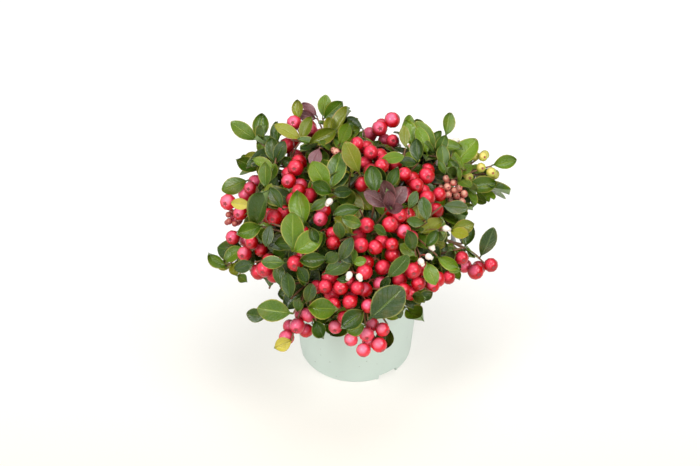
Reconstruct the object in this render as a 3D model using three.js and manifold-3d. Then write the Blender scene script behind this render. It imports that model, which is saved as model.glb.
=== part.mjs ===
// A potted wintergreen: a low evergreen berry shrub with many thin stems, in a thin-walled plastic pot.
// Millimetres, +Z up. The origin is the centre of the pot's flat underside, and the front faces -Y.
// Each stem rises from the compost and ends where it enters the foliage mass that it carries.

import * as THREE from "three";
import { mergeVertices } from "three/addons/utils/BufferGeometryUtils.js";
import Module from "manifold-3d";

const wasm = await Module();
wasm.setup();

// Pot: an 11 cm nursery pot with a stepped rim, and drainage channels under its floor.
const POT_HEIGHT = 95;
const POT_BASE_RADIUS = 42.4;
const POT_WALL_TOP_RADIUS = 49.8;
const POT_RIM_RADIUS = 55;
const POT_RIM_DEPTH = 12;
const POT_WALL = 1.5;
const POT_FLOOR = 2;
const POT_FOOT_BEVEL = 1.3;
const POT_COLLAR_INSET = 1.2;
const POT_LIP_DEPTH = 1.8;
const POT_STEP_HEIGHT = 1.4;
const POT_SIDES = 36;
const CHANNEL_COUNT = 3;
const CHANNEL_FIRST_AZIMUTH = -55;
const CHANNEL_WIDTH = 16;
const CHANNEL_HEIGHT = 4;
const CHANNEL_START = 20;
const DRAIN_RADIUS = 3.5;
const DRAIN_AT = 30;
const DRAIN_SIDES = 12;

// Compost and the short woody rootstock in it.
const COMPOST_TOP = 84;
const COMPOST_BEVEL = 2;
const ROOTSTOCK_HEIGHT = 12;
const ROOTSTOCK_FLARE_RADIUS = 7.5;
const ROOTSTOCK_TOP_RADIUS = 4.5;
const ROOTSTOCK_SIDES = 10;

// Stems: they stand round the rootstock, arch over the rim and taper to where their mass begins.
const FOOT_SHARE = 0.38;
const FOOT_LEAST_RADIUS = 13;
const ARCH = 46;
const ARCH_REACH_SHARE = 0.35;
const ARCH_RISE_SHARE = 0.75;
const STEM_FOOT_RADIUS = 1.9;
const STEM_TIP_RADIUS = 1.15;
const STEM_SIDES = 5;
const STEM_STEPS = 4;
const STEM_MARKS = 60;
const STEM_LEAST_SHARE = 0.5;
const STEM_MOST_SHARE = 0.9;
const STEM_SHARE_STEP = 0.02;

// Twigs: a main twig goes on from the stem's line, and side twigs leave it in the crown's skin.
const TWIG_FOOT_RADIUS = 1.7;
const TWIG_SIDE_RADIUS = 1.5;
const TWIG_TIP_RADIUS = 1.2;
const TWIG_SIDES = 3;
const TWIG_MARKS = 20;
const SIDE_TWIGS = 3;
const SIDE_WAYS = 12;
const SIDE_SPREADS = [22, 16.5];
const SIDE_DROP = 6;
const SIDE_APART = 80;
const SIDE_FIRST_SHARE = 0.74;
const SIDE_SHARE_STEP = 0.07;
const SIDE_TIP_ROOM = 5;

// Leaves: whorls round the tips, and a few on the main twig below them.
const LEAF_LENGTH = 30;
const LEAF_WIDTH = 20;
const LEAF_THICKNESS = 0.8;
const LEAF_DROOP = 0.1;
const LEAF_SUNK = 0.2;
const LEAF_FIRST_NODE = 0.8;
const LEAF_NODE_STEP = 2.2;
const LEAF_APART = 1;
const LEAF_CLEARANCE = 0.6;
const LEAF_REACH = 6;
const LEAN_FIRST = 44;
const LEAN_LAST = 92;
const LEAVES_PER_TIP = 5;
const INNER_LEAVES = 2;
const INNER_FIRST_NODE = 13;
const INNER_NODE_STEP = 4;
const INNER_LEAN = 84;
const GOLDEN_ANGLE = 137.5;

// What a leaf without room tries in turn: shares of its size, further leans and turns in degrees.
const SIZES_TRIED = [1, 0.82, 0.66];
const LEANS_TRIED = [0, -14, 12, -28];
const TURNS_TRIED = [0, 22, -22, 44, -44, 70, -70, 100, -100, 130, -130, 160];

// Berries: they hang in a ring below a tip, each on its own stalk.
const BERRY_RADIUS = 5;
const BERRY_SIDES = 5;
const BERRY_NODE = 9;
const BERRY_NODES = [4.5, 6, 7.5, 9, 10.5, 12, 13.5];
const BERRY_SPACING = 1.06;
const BERRY_APART = 0.1;
const HANG_SLOPE = 0.75;
const HANG_SPLIT = 40;
const STALK_LENGTH = 3.5;
const STALK_RADIUS = 0.45;
const STALK_SUNK = 0.1;

// Room that each foliage mass keeps to, and the gaps that separate solids keep.
const GAP = 0.3;
const POT_GAP = 1;
const MOUTH_INSET = 6;
const SPACE_RADIUS = 40;
const CENTRE_SHARE = 0.93;
const CROWN_HEART = new THREE.Vector3(0, 0, 70);
const SLIVER = 0.1;
const SEED = 4021;
const SEED_STEP = 613;

// One row for each stem and its foliage mass: the azimuth, reach and height of the mass's tip, how many
// berries hang from that tip and from each side twig, and the azimuth they hang towards.
const SHOOTS = [
  { name: "front_low", azimuth: -86, reach: 80, height: 98, berries: 5, side: 0, hang: -90 },
  { name: "front_left_low", azimuth: -121, reach: 80, height: 98, berries: 4, side: 1, hang: -100 },
  { name: "front_right_low", azimuth: -62, reach: 78, height: 112, berries: 3, side: 1, hang: -70 },
  { name: "right_front_low", azimuth: -36, reach: 80, height: 108, berries: 3, side: 1, hang: -60 },
  { name: "right_low", azimuth: -5, reach: 90, height: 94, berries: 3, side: 0, hang: -30 },
  { name: "right_far", azimuth: 21, reach: 96, height: 146, berries: 3, side: 0, hang: 0 },
  { name: "back_right_low", azimuth: 48, reach: 84, height: 108, berries: 4, side: 0, hang: 48 },
  { name: "back_low", azimuth: 84, reach: 80, height: 100, berries: 4, side: 0, hang: 90 },
  { name: "back_left_low", azimuth: 122, reach: 84, height: 106, berries: 4, side: 0, hang: 120 },
  { name: "left_back_low", azimuth: 158, reach: 84, height: 98, berries: 3, side: 0, hang: 160 },
  { name: "left_low", azimuth: -172, reach: 90, height: 92, berries: 1, side: 1, hang: -150 },
  { name: "left_front_low", azimuth: -146, reach: 78, height: 108, berries: 3, side: 1, hang: -120 },
  { name: "left_mid", azimuth: 172, reach: 84, height: 122, berries: 4, side: 1, hang: -140 },
  { name: "left_front", azimuth: -130, reach: 64, height: 140, berries: 3, side: 1, hang: -110 },
  { name: "front_mid", azimuth: -95, reach: 68, height: 122, berries: 3, side: 0, hang: -90 },
  { name: "right_front", azimuth: -40, reach: 64, height: 142, berries: 3, side: 1, hang: -70 },
  { name: "right_mid", azimuth: 2, reach: 72, height: 132, berries: 3, side: 1, hang: -40 },
  { name: "right_top", azimuth: 36, reach: 72, height: 166, berries: 2, side: 1, hang: -40 },
  { name: "back_mid", azimuth: 84, reach: 62, height: 142, berries: 4, side: 0, hang: 90 },
  { name: "left_top", azimuth: 148, reach: 78, height: 162, berries: 3, side: 1, hang: -120 },
  { name: "back_left_mid", azimuth: 124, reach: 66, height: 138, berries: 3, side: 0, hang: 120 },
  { name: "left_heart", azimuth: -164, reach: 50, height: 154, berries: 3, side: 1, hang: -100 },
  { name: "front_heart", azimuth: -76, reach: 50, height: 150, berries: 3, side: 1, hang: -80 },
  { name: "heart", azimuth: -122, reach: 18, height: 174, berries: 2, side: 1, hang: -90 },
  { name: "right_heart", azimuth: 2, reach: 38, height: 168, berries: 4, side: 1, hang: -70 },
  { name: "top_right", azimuth: 72, reach: 44, height: 168, berries: 5, side: 1, hang: -80 },
  { name: "top_left", azimuth: 120, reach: 42, height: 180, berries: 4, side: 1, hang: -90 },
];

const radians = THREE.MathUtils.degToRad;
const UP = new THREE.Vector3(0, 0, 1);

// The same run of numbers from 0 to 1 each time, for one seed.
function seededRandom(seed) {
  const MODULUS = 2147483647;
  const MULTIPLIER = 16807;
  let state = seed % MODULUS;
  return () => {
    state = (state * MULTIPLIER) % MODULUS;
    return state / MODULUS;
  };
}

function between(random, low, high) {
  return low + (high - low) * random();
}

// A point on the level ring of a radius, at an azimuth in degrees and a height.
function ringPoint(azimuth, radius, height) {
  return new THREE.Vector3(
    radius * Math.cos(radians(azimuth)),
    radius * Math.sin(radians(azimuth)),
    height,
  );
}

// Geometry to solid and back, for the boolean joins and cuts.
function toSolid(geometry) {
  const bare = new THREE.BufferGeometry().setAttribute(
    "position",
    (geometry.index ? geometry.toNonIndexed() : geometry).getAttribute("position"),
  );
  const merged = mergeVertices(bare, 1e-3);
  return new wasm.Manifold(
    new wasm.Mesh({
      numProp: 3,
      vertProperties: new Float32Array(merged.attributes.position.array),
      triVerts: new Uint32Array(merged.index.array),
    }),
  );
}

function toGeometry(solid) {
  const mesh = solid.getMesh();
  const positions = new Float32Array(mesh.numVert * 3);
  for (let i = 0; i < mesh.numVert; i++) {
    const start = i * mesh.numProp;
    positions.set(mesh.vertProperties.subarray(start, start + 3), i * 3);
  }
  const geometry = new THREE.BufferGeometry();
  geometry.setAttribute("position", new THREE.BufferAttribute(positions, 3));
  geometry.setIndex(new THREE.BufferAttribute(new Uint32Array(mesh.triVerts), 1));
  geometry.computeVertexNormals();
  return geometry;
}

// A body of revolution about +Z, from [radius, height] pairs that start and end on the axis.
function turned(profile, sides) {
  const points = profile.map(([radius, height]) => new THREE.Vector2(radius, height));
  return new THREE.LatheGeometry(points, sides).rotateX(Math.PI / 2);
}

// The pot's outer radius at a height, over wall and rim alike.
function potOuterRadius(height) {
  const rimFoot = POT_HEIGHT - POT_RIM_DEPTH;
  if (height > rimFoot) return POT_RIM_RADIUS;
  const share = Math.max(height, 0) / rimFoot;
  return POT_BASE_RADIUS + (POT_WALL_TOP_RADIUS - POT_BASE_RADIUS) * share;
}

// The wall, rim and floor as one turned shell, with the channels and drain holes cut in from below.
function potSolid() {
  let pot = toSolid(turned([...potOutside(), ...potInside()], POT_SIDES));
  for (let i = 0; i < CHANNEL_COUNT; i++) {
    const azimuth = radians(CHANNEL_FIRST_AZIMUTH + (i * 360) / CHANNEL_COUNT);
    const roof = channelBox(POT_WALL, POT_BASE_RADIUS - CHANNEL_START - 1, azimuth);
    const channel = channelBox(0, POT_BASE_RADIUS - CHANNEL_START + 6, azimuth);
    const drain = new THREE.CylinderGeometry(DRAIN_RADIUS, DRAIN_RADIUS, 12, DRAIN_SIDES)
      .rotateX(Math.PI / 2)
      .translate(DRAIN_AT, 0, POT_FLOOR)
      .rotateZ(azimuth);
    pot = pot.add(toSolid(roof)).subtract(toSolid(channel)).subtract(toSolid(drain));
  }
  return pot.asOriginal().simplify(0.01);
}

function potOutside() {
  const rimFoot = POT_HEIGHT - POT_RIM_DEPTH;
  const collar = POT_RIM_RADIUS - POT_COLLAR_INSET;
  return [
    [0, 0],
    [POT_BASE_RADIUS - POT_FOOT_BEVEL, 0],
    [POT_BASE_RADIUS, POT_FOOT_BEVEL],
    [POT_WALL_TOP_RADIUS, rimFoot],
    [collar - 1, rimFoot + POT_STEP_HEIGHT],
    [collar, POT_HEIGHT - POT_LIP_DEPTH - 1],
    [POT_RIM_RADIUS, POT_HEIGHT - POT_LIP_DEPTH],
    [POT_RIM_RADIUS, POT_HEIGHT],
  ];
}

function potInside() {
  const rimFoot = POT_HEIGHT - POT_RIM_DEPTH;
  const collar = POT_RIM_RADIUS - POT_COLLAR_INSET;
  return [
    [collar - POT_WALL, POT_HEIGHT],
    [collar - 1 - POT_WALL, rimFoot + POT_STEP_HEIGHT + 1],
    [POT_WALL_TOP_RADIUS - POT_WALL, rimFoot + 1],
    [POT_BASE_RADIUS - POT_WALL, POT_FLOOR],
    [0, POT_FLOOR],
  ];
}

// The box of one underfloor channel, grown by a wall thickness all round where it is the channel's roof.
function channelBox(wall, length, azimuth) {
  const height = CHANNEL_HEIGHT + wall;
  const sunk = wall ? 0 : 2;
  return new THREE.BoxGeometry(length + wall, CHANNEL_WIDTH + 2 * wall, height + sunk)
    .translate(CHANNEL_START - wall + (length + wall) / 2, 0, (height - sunk) / 2)
    .rotateZ(azimuth);
}

// The compost stands clear of the pot's wall, floor and channel roofs.
function compostSolid() {
  const floor = CHANNEL_HEIGHT + POT_WALL + GAP;
  const shoulder = COMPOST_TOP - COMPOST_BEVEL;
  const profile = [
    [0, floor],
    [potOuterRadius(floor) - POT_WALL - 2 * GAP, floor],
    [potOuterRadius(shoulder) - POT_WALL - 2 * GAP, shoulder],
    [potOuterRadius(shoulder) - POT_WALL - 2 * GAP - COMPOST_BEVEL, COMPOST_TOP],
    [0, COMPOST_TOP],
  ];
  return toSolid(turned(profile, POT_SIDES));
}

function rootstockSolid() {
  const foot = COMPOST_TOP + GAP;
  const profile = [
    [0, foot],
    [ROOTSTOCK_FLARE_RADIUS, foot],
    [ROOTSTOCK_TOP_RADIUS + 0.9, foot + ROOTSTOCK_HEIGHT * 0.35],
    [ROOTSTOCK_TOP_RADIUS, foot + ROOTSTOCK_HEIGHT],
    [0, foot + ROOTSTOCK_HEIGHT],
  ];
  return toSolid(turned(profile, ROOTSTOCK_SIDES));
}

// The quadratic curve that a stem and its foliage follow: up from the foot, over its arch, to the tip.
class GrowthLine {
  constructor(foot, arch, tip) {
    this.foot = foot;
    this.arch = arch;
    this.tip = tip;
    this.side = arch.clone().sub(foot).cross(tip.clone().sub(foot)).normalize();
  }

  at(t) {
    return new THREE.Vector3()
      .addScaledVector(this.foot, (1 - t) * (1 - t))
      .addScaledVector(this.arch, 2 * t * (1 - t))
      .addScaledVector(this.tip, t * t);
  }

  heading(t) {
    return new THREE.Vector3()
      .addScaledVector(this.arch.clone().sub(this.foot), 1 - t)
      .addScaledVector(this.tip.clone().sub(this.arch), t)
      .normalize();
  }

  // The length of the whole line, over its middle.
  get span() {
    return this.foot.distanceTo(this.at(0.5)) + this.at(0.5).distanceTo(this.tip);
  }

  // The point of the line that lies a distance below its tip.
  below(distance) {
    return this.at(1 - distance / this.span);
  }

  marks(end, count) {
    return Array.from({ length: count + 1 }, (_, i) => this.at((end * i) / count));
  }
}

// A limb of round section that tapers along a growth line: a cylinder bent onto the line.
function limb(line, from, to, footRadius, tipRadius, sides, steps) {
  const geometry = new THREE.CylinderGeometry(1, 1, 1, sides, steps);
  const position = geometry.attributes.position;
  for (let i = 0; i < position.count; i++) {
    const share = position.getY(i) + 0.5;
    const t = from + (to - from) * share;
    const radius = footRadius + (tipRadius - footRadius) * share;
    const heading = t <= 0 ? UP : line.heading(t);
    const across = new THREE.Vector3().crossVectors(heading, line.side).normalize();
    const point = line
      .at(t)
      .addScaledVector(line.side, radius * position.getX(i))
      .addScaledVector(across, -radius * position.getZ(i));
    position.setXYZ(i, point.x, point.y, point.z);
  }
  return geometry;
}

// A leaf as a thin lens on a five-point outline: narrow root, broad middle and blunt tip, flat beneath.
function leafGeometry(leaf) {
  const outline = [
    [0, 0],
    [0.4, 0.5],
    [0.96, 0.16],
    [0.96, -0.16],
    [0.4, -0.5],
  ];
  const points = outline.map(([share, aside]) => leafPoint(leaf, share, aside));
  points.push(leafPoint(leaf, 0.42, 0).addScaledVector(leaf.face, LEAF_THICKNESS));
  const faces = outline.flatMap((_, i) => [i, 5, (i + 1) % 5]);
  faces.push(0, 1, 4, 1, 3, 4, 1, 2, 3);
  const geometry = new THREE.BufferGeometry().setFromPoints(points);
  geometry.setIndex(faces);
  return geometry;
}

// A point of a leaf's blade, which droops towards its tip.
function leafPoint(leaf, share, aside) {
  return leaf.root
    .clone()
    .addScaledVector(leaf.along, share * leaf.length)
    .addScaledVector(leaf.across, aside * leaf.width)
    .addScaledVector(leaf.face, -LEAF_DROOP * leaf.length * share * share);
}

// Points in rows across a leaf beyond its root, for the tests of room.
function leafSamples(leaf) {
  const rows = [
    [0.2, 0.25],
    [0.4, 0.5],
    [0.6, 0.4],
    [0.78, 0.29],
    [0.96, 0.16],
  ];
  return rows.flatMap(([share, half]) =>
    [-half, -half / 2, 0, half / 2, half].map((aside) => leafPoint(leaf, share, aside)),
  );
}

// Where a stem stands: on the rootstock for the one in the middle, and round it for the rest.
function footOf(shoot) {
  if (shoot.name === "heart") return ringPoint(0, 0, COMPOST_TOP + ROOTSTOCK_HEIGHT + 2 * GAP);
  const radius = Math.max(FOOT_SHARE * shoot.reach, FOOT_LEAST_RADIUS);
  return ringPoint(shoot.azimuth, radius, COMPOST_TOP + GAP);
}

function lineOf(shoot) {
  const foot = footOf(shoot);
  const rise = shoot.height - COMPOST_TOP;
  const footRadius = Math.hypot(foot.x, foot.y);
  const archRadius = footRadius + ARCH_REACH_SHARE * (shoot.reach - footRadius);
  const archHeight = COMPOST_TOP + ARCH_RISE_SHARE * rise + ARCH * (1 - rise / 100);
  const arch = ringPoint(shoot.azimuth, archRadius, archHeight);
  return new GrowthLine(foot, arch, ringPoint(shoot.azimuth, shoot.reach, shoot.height));
}

const lines = SHOOTS.map(lineOf);
const centres = lines.map((line) => line.at(CENTRE_SHARE));

// How far inside its own space a point lies: its distance to the nearest plane midway between two masses.
function roomAt(index, point) {
  let room = SPACE_RADIUS - point.distanceTo(centres[index]);
  const own = point.distanceToSquared(centres[index]);
  centres.forEach((centre, other) => {
    if (other === index) return;
    const apart = centre.distanceTo(centres[index]);
    room = Math.min(room, (point.distanceToSquared(centre) - own) / (2 * apart));
  });
  return room;
}

// A stem ends where its line enters its mass's space.
function entryOf(line, index) {
  const room = (t) => roomAt(index, line.at(t));
  let t = STEM_MOST_SHARE;
  while (t > STEM_LEAST_SHARE && room(t - STEM_SHARE_STEP) > STEM_TIP_RADIUS + GAP) t -= STEM_SHARE_STEP;
  return t;
}

const entries = lines.map(entryOf);
const stemPoints = lines.flatMap((line, index) => line.marks(entries[index], STEM_MARKS));

// True if a ball of that radius keeps clear of every stem.
function clearOfStems(point, radius) {
  const reach = radius + STEM_FOOT_RADIUS + GAP;
  return stemPoints.every((mark) => mark.distanceToSquared(point) > reach * reach);
}

// True if a ball of that radius keeps clear of the pot and its compost.
function clearOfPot(point, radius) {
  const out = Math.hypot(point.x, point.y);
  const margin = radius + POT_GAP;
  if (point.z > POT_HEIGHT + margin) return true;
  if (out > potOuterRadius(point.z) + margin) return true;
  return out < POT_RIM_RADIUS - MOUTH_INSET - margin && point.z > COMPOST_TOP + margin;
}

function ballFits(index, point, radius) {
  if (roomAt(index, point) < radius + GAP / 2) return false;
  return clearOfPot(point, radius) && clearOfStems(point, radius);
}

// The ways round a tip that lie in the crown's own skin: outward, level and upward.
function skinAt(tip) {
  const outward = tip.clone().sub(CROWN_HEART).normalize();
  const level = new THREE.Vector3().crossVectors(UP, outward).normalize();
  return { outward, level, upward: new THREE.Vector3().crossVectors(outward, level) };
}

// Tips that a side twig could have, the roomiest first.
function sideTips(index, random) {
  const line = lines[index];
  const { outward, level, upward } = skinAt(line.tip);
  const choices = [];
  const first = between(random, 0, 360 / SIDE_WAYS);
  for (let i = 0; i < SIDE_WAYS; i++) {
    const way = radians(first + (i * 360) / SIDE_WAYS);
    for (const spread of SIDE_SPREADS) {
      const tip = line.tip
        .clone()
        .addScaledVector(level, spread * Math.cos(way))
        .addScaledVector(upward, spread * Math.sin(way))
        .addScaledVector(outward, -SIDE_DROP);
      if (!ballFits(index, tip, SIDE_TIP_ROOM)) continue;
      choices.push({ way, tip, room: roomAt(index, tip) + spread });
    }
  }
  return choices.sort((a, b) => b.room - a.room);
}

// Side twigs leave the main twig and spread in the crown's skin, each to where its mass has most room.
function sideTwigs(index, random) {
  const line = lines[index];
  const { outward } = skinAt(line.tip);
  const twigs = [];
  const ways = [];
  for (const { way, tip } of sideTips(index, random)) {
    if (twigs.length === SIDE_TWIGS) break;
    if (ways.some((other) => Math.cos(way - other) > Math.cos(radians(SIDE_APART)))) continue;
    const share = Math.max(SIDE_FIRST_SHARE + SIDE_SHARE_STEP * twigs.length, entries[index] + 0.05);
    const start = line.at(share);
    const arch = start.clone().lerp(tip, 0.55).addScaledVector(outward, 2);
    twigs.push(new GrowthLine(start, arch, tip));
    ways.push(way);
  }
  return twigs;
}

// Berries hang in a ring below a tip, each on a stalk from the nearest of the twig's nodes.
function berriesAt(index, random, line, count, hang, others) {
  if (!count) return [];
  const towards = ringPoint(hang + between(random, -15, 15), 1, -HANG_SLOPE).normalize();
  const first = new THREE.Vector3().crossVectors(towards, UP).normalize();
  const second = new THREE.Vector3().crossVectors(towards, first);
  const middle = line.below(BERRY_NODE).addScaledVector(towards, STALK_LENGTH + BERRY_RADIUS);
  const ring = count > 1 ? (BERRY_RADIUS * BERRY_SPACING) / Math.sin(Math.PI / count) : 0;
  const start = between(random, 0, 360);
  const berries = [];
  for (let i = 0; i < count; i++) {
    const turn = radians(start + (i * 360) / count);
    const radius = BERRY_RADIUS * between(random, 0.9, 1.03);
    const centre = middle
      .clone()
      .addScaledVector(first, ring * Math.cos(turn))
      .addScaledVector(second, ring * Math.sin(turn))
      .addScaledVector(towards, between(random, -1.5, 1.5));
    const nodes = BERRY_NODES.map((distance) => line.below(distance));
    nodes.sort((a, b) => a.distanceTo(centre) - b.distanceTo(centre));
    const apart = [...others, ...berries].every(
      (other) => other.centre.distanceTo(centre) > other.radius + radius + BERRY_APART,
    );
    if (apart && ballFits(index, centre, radius)) berries.push({ root: nodes[0], centre, radius });
  }
  return berries;
}

// The axes that a twig's leaves stand round: outward and a little up.
function whorlAxes(line) {
  const axis = skinAt(line.tip).outward.addScaledVector(UP, 0.5).normalize();
  const first = line.side.clone().addScaledVector(axis, -line.side.dot(axis)).normalize();
  return { axis, first, second: new THREE.Vector3().crossVectors(axis, first) };
}

// A leaf from a node, at a lean from the whorl's axis and a turn round it.
function leafOn({ node, axes, length, width }, lean, turn) {
  const spoke = axes.first
    .clone()
    .multiplyScalar(Math.cos(turn))
    .addScaledVector(axes.second, Math.sin(turn));
  const along = axes.axis.clone().multiplyScalar(Math.cos(lean)).addScaledVector(spoke, Math.sin(lean));
  const face = axes.axis.clone().multiplyScalar(Math.sin(lean)).addScaledVector(spoke, -Math.cos(lean));
  const across = new THREE.Vector3().crossVectors(face, along);
  const leaf = { root: node.clone().addScaledVector(along, -LEAF_SUNK), along, across, face, length, width };
  leaf.samples = leafSamples(leaf);
  return leaf;
}

// The first way that a leaf finds room, if it does: turned aside, leaning otherwise or smaller.
function fittedLeaf(index, bud, held, others) {
  for (const size of SIZES_TRIED) {
    for (const more of LEANS_TRIED) {
      for (const nudge of TURNS_TRIED) {
        const smaller = { ...bud, length: bud.length * size, width: bud.width * size };
        const leaf = leafOn(smaller, radians(bud.lean + more), radians(bud.turn + nudge));
        if (leafFits(index, leaf, held, others)) return [leaf];
      }
    }
  }
  return [];
}

// A whorl of leaves round a tip, each turned on by the golden angle and leaning out further.
function leavesAt(index, random, line, held, others) {
  const axes = whorlAxes(line);
  const start = between(random, 0, 360);
  const leaves = [];
  for (let i = 0; i < LEAVES_PER_TIP; i++) {
    const lean = LEAN_FIRST + ((LEAN_LAST - LEAN_FIRST) * i) / LEAVES_PER_TIP + between(random, -6, 6);
    const size = (i === 0 ? 0.8 : 1) * between(random, 0.88, 1.1);
    const width = LEAF_WIDTH * size * between(random, 0.9, 1.1);
    const node = line.below(LEAF_FIRST_NODE + LEAF_NODE_STEP * i);
    const turn = start + i * GOLDEN_ANGLE;
    const bud = { node, axes, lean, turn, length: LEAF_LENGTH * size, width };
    leaves.push(...fittedLeaf(index, bud, held, [...others, ...leaves]));
  }
  return leaves;
}

// Leaves on the main twig below its whorl, where the mass is open inside.
function innerLeaves(index, random, held, others) {
  const line = lines[index];
  const axes = whorlAxes(line);
  const leaves = [];
  for (let i = 0; i < INNER_LEAVES; i++) {
    const distance = INNER_FIRST_NODE + INNER_NODE_STEP * i;
    const turn = between(random, 0, 360);
    if (1 - distance / line.span < entries[index] + 0.05) continue;
    const node = line.below(distance);
    const bud = { node, axes, lean: INNER_LEAN, turn, length: LEAF_LENGTH, width: LEAF_WIDTH };
    leaves.push(...fittedLeaf(index, bud, held, [...others, ...leaves]));
  }
  return leaves;
}

// A leaf fits where it stays in its space and off the pot, stems, twigs, berries and other leaves.
function leafFits(index, leaf, held, leaves) {
  const fits = leaf.samples.every(
    (point) =>
      roomAt(index, point) > LEAF_THICKNESS &&
      clearOfPot(point, LEAF_CLEARANCE) &&
      clearOfStems(point, LEAF_CLEARANCE) &&
      held.berries.every((berry) => point.distanceTo(berry.centre) > berry.radius + LEAF_CLEARANCE),
  );
  if (!fits || meets(held.twigPoints, leaf, TWIG_TIP_RADIUS)) return false;
  return leaves.every(
    (other) => !meets(leaf.samples, other, LEAF_APART) && !meets(other.samples, leaf, LEAF_APART),
  );
}

// True if points come within a gap of a leaf's blade, or lie close by it on both sides.
function meets(points, leaf, gap) {
  let above = false;
  let below = false;
  for (const point of points) {
    const from = point.clone().sub(leaf.root);
    const share = from.dot(leaf.along) / leaf.length;
    if (share < 0.16 || share > 1.03) continue;
    if (Math.abs(from.dot(leaf.across)) / leaf.width > 0.52) continue;
    const height = from.dot(leaf.face) + LEAF_DROOP * leaf.length * share * share;
    if (Math.abs(height) > LEAF_REACH) continue;
    if (height > -gap) above = true;
    if (height < gap) below = true;
  }
  return above && below;
}

// Everything that one mass holds: its twigs, berries and leaves.
function grow(index) {
  const shoot = SHOOTS[index];
  const random = seededRandom(SEED + SEED_STEP * (index + 1));
  for (let i = 0; i < 5; i++) random();
  const main = lines[index];
  const twigs = sideTwigs(index, random);
  const berries = berriesAt(index, random, main, shoot.berries, shoot.hang, []);
  twigs.forEach((twig, i) => {
    const hang = shoot.hang + (i ? -HANG_SPLIT : HANG_SPLIT);
    berries.push(...berriesAt(index, random, twig, shoot.side, hang, berries));
  });
  const stalks = berries.map(({ root, centre }) => new THREE.LineCurve3(root, centre).getPoints(TWIG_MARKS));
  const twigPoints = [...[main, ...twigs].map((line) => line.marks(1, TWIG_MARKS)), ...stalks].flat();
  const held = { berries, twigPoints };
  const leaves = [];
  for (const line of [main, ...twigs]) leaves.push(...leavesAt(index, random, line, held, leaves));
  leaves.push(...innerLeaves(index, random, held, leaves));
  return { main, twigs, berries, leaves };
}

// A berry and its stalk as one turned body, from a root just inside the twig to the berry's far end.
function berryGeometry({ root, centre, radius }) {
  const outward = centre.clone().sub(root);
  const reach = outward.length();
  const profile = [
    [0, -STALK_SUNK],
    [STALK_RADIUS, -STALK_SUNK],
    [STALK_RADIUS, reach - radius],
    [radius * 0.92, reach - radius * 0.45],
    [radius * 0.92, reach + radius * 0.5],
    [0, reach + radius],
  ];
  const facing = new THREE.Quaternion().setFromUnitVectors(UP, outward.normalize());
  return turned(profile, BERRY_SIDES).applyQuaternion(facing).translate(root.x, root.y, root.z);
}

function largestBody(solid) {
  return solid.decompose().sort((a, b) => b.volume() - a.volume())[0];
}

// Fuses a mass into one solid, and drops any scrap that a join leaves loose. Corners that fall together
// in the geometry can set another scrap free, so the largest body is taken of that as well.
function massSolid(index) {
  const { main, twigs, berries, leaves } = grow(index);
  const start = entries[index] + (GAP * 1.2) / main.span;
  const pieces = [limb(main, start, 1, TWIG_FOOT_RADIUS, TWIG_TIP_RADIUS, TWIG_SIDES, 3)];
  for (const twig of twigs) {
    pieces.push(limb(twig, 0.001, 1, TWIG_SIDE_RADIUS, TWIG_TIP_RADIUS, TWIG_SIDES, 2));
  }
  pieces.push(...berries.map(berryGeometry), ...leaves.map(leafGeometry));
  const fused = wasm.Manifold.union(pieces.map(toSolid)).asOriginal().simplify(SLIVER);
  const whole = toSolid(toGeometry(largestBody(fused)));
  return largestBody(whole);
}

function stemSolid(index) {
  const end = entries[index];
  return toSolid(limb(lines[index], 0, end, STEM_FOOT_RADIUS, STEM_TIP_RADIUS, STEM_SIDES, STEM_STEPS));
}

const finishes = {
  pot: new THREE.MeshStandardMaterial({ color: 0xc9d8c8, roughness: 0.55, metalness: 0 }),
  compost: new THREE.MeshStandardMaterial({ color: 0x2b211b, roughness: 1, metalness: 0 }),
  bark: new THREE.MeshStandardMaterial({ color: 0x6b4632, roughness: 0.8, metalness: 0 }),
  foliage: new THREE.MeshStandardMaterial({ color: 0x47702c, roughness: 0.4, metalness: 0 }),
};

const plant = new THREE.Group();

function addPart(name, solid, finish) {
  const mesh = new THREE.Mesh(toGeometry(solid), finish);
  mesh.name = name;
  plant.add(mesh);
}

addPart("pot", potSolid(), finishes.pot);
addPart("compost", compostSolid(), finishes.compost);
addPart("rootstock", rootstockSolid(), finishes.bark);
SHOOTS.forEach((shoot, index) => {
  addPart("stem_" + shoot.name, stemSolid(index), finishes.bark);
  addPart("foliage_" + shoot.name, massSolid(index), finishes.foliage);
});

export default plant;
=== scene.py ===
"""Looks of a potted wintergreen: a low evergreen berry shrub in a pale sage-green nursery pot.

Sizes are in millimetres in each section and become metres where a mesh is made.
"""

import math

import bpy
import numpy as np
from mathutils import Matrix, Vector, noise


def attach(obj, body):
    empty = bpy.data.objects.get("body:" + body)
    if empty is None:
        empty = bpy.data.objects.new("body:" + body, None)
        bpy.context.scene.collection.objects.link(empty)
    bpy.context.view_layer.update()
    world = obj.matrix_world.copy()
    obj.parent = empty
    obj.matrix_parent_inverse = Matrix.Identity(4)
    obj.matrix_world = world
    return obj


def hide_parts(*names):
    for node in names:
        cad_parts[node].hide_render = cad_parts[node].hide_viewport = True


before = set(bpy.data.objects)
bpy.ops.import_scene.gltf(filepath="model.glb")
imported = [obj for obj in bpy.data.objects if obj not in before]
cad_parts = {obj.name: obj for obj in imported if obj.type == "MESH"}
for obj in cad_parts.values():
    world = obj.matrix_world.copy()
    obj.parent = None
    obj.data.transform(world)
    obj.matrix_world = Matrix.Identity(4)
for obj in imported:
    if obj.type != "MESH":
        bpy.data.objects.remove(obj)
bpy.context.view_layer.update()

# Camera: looks down on the plant from the front, along +Y, with a long lens.
# The plant's axis stands a little right of the middle of the 700 x 466 picture.
CAMERA_RISE = math.radians(40.5)
CAMERA_DISTANCE = 1.55
CAMERA_TARGET = Vector((-0.0044, 0, 0.1124))
CAMERA_LENS = 108.2
CAMERA_SENSOR = 36
CAMERA_FAR_CLIP = 20

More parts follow.
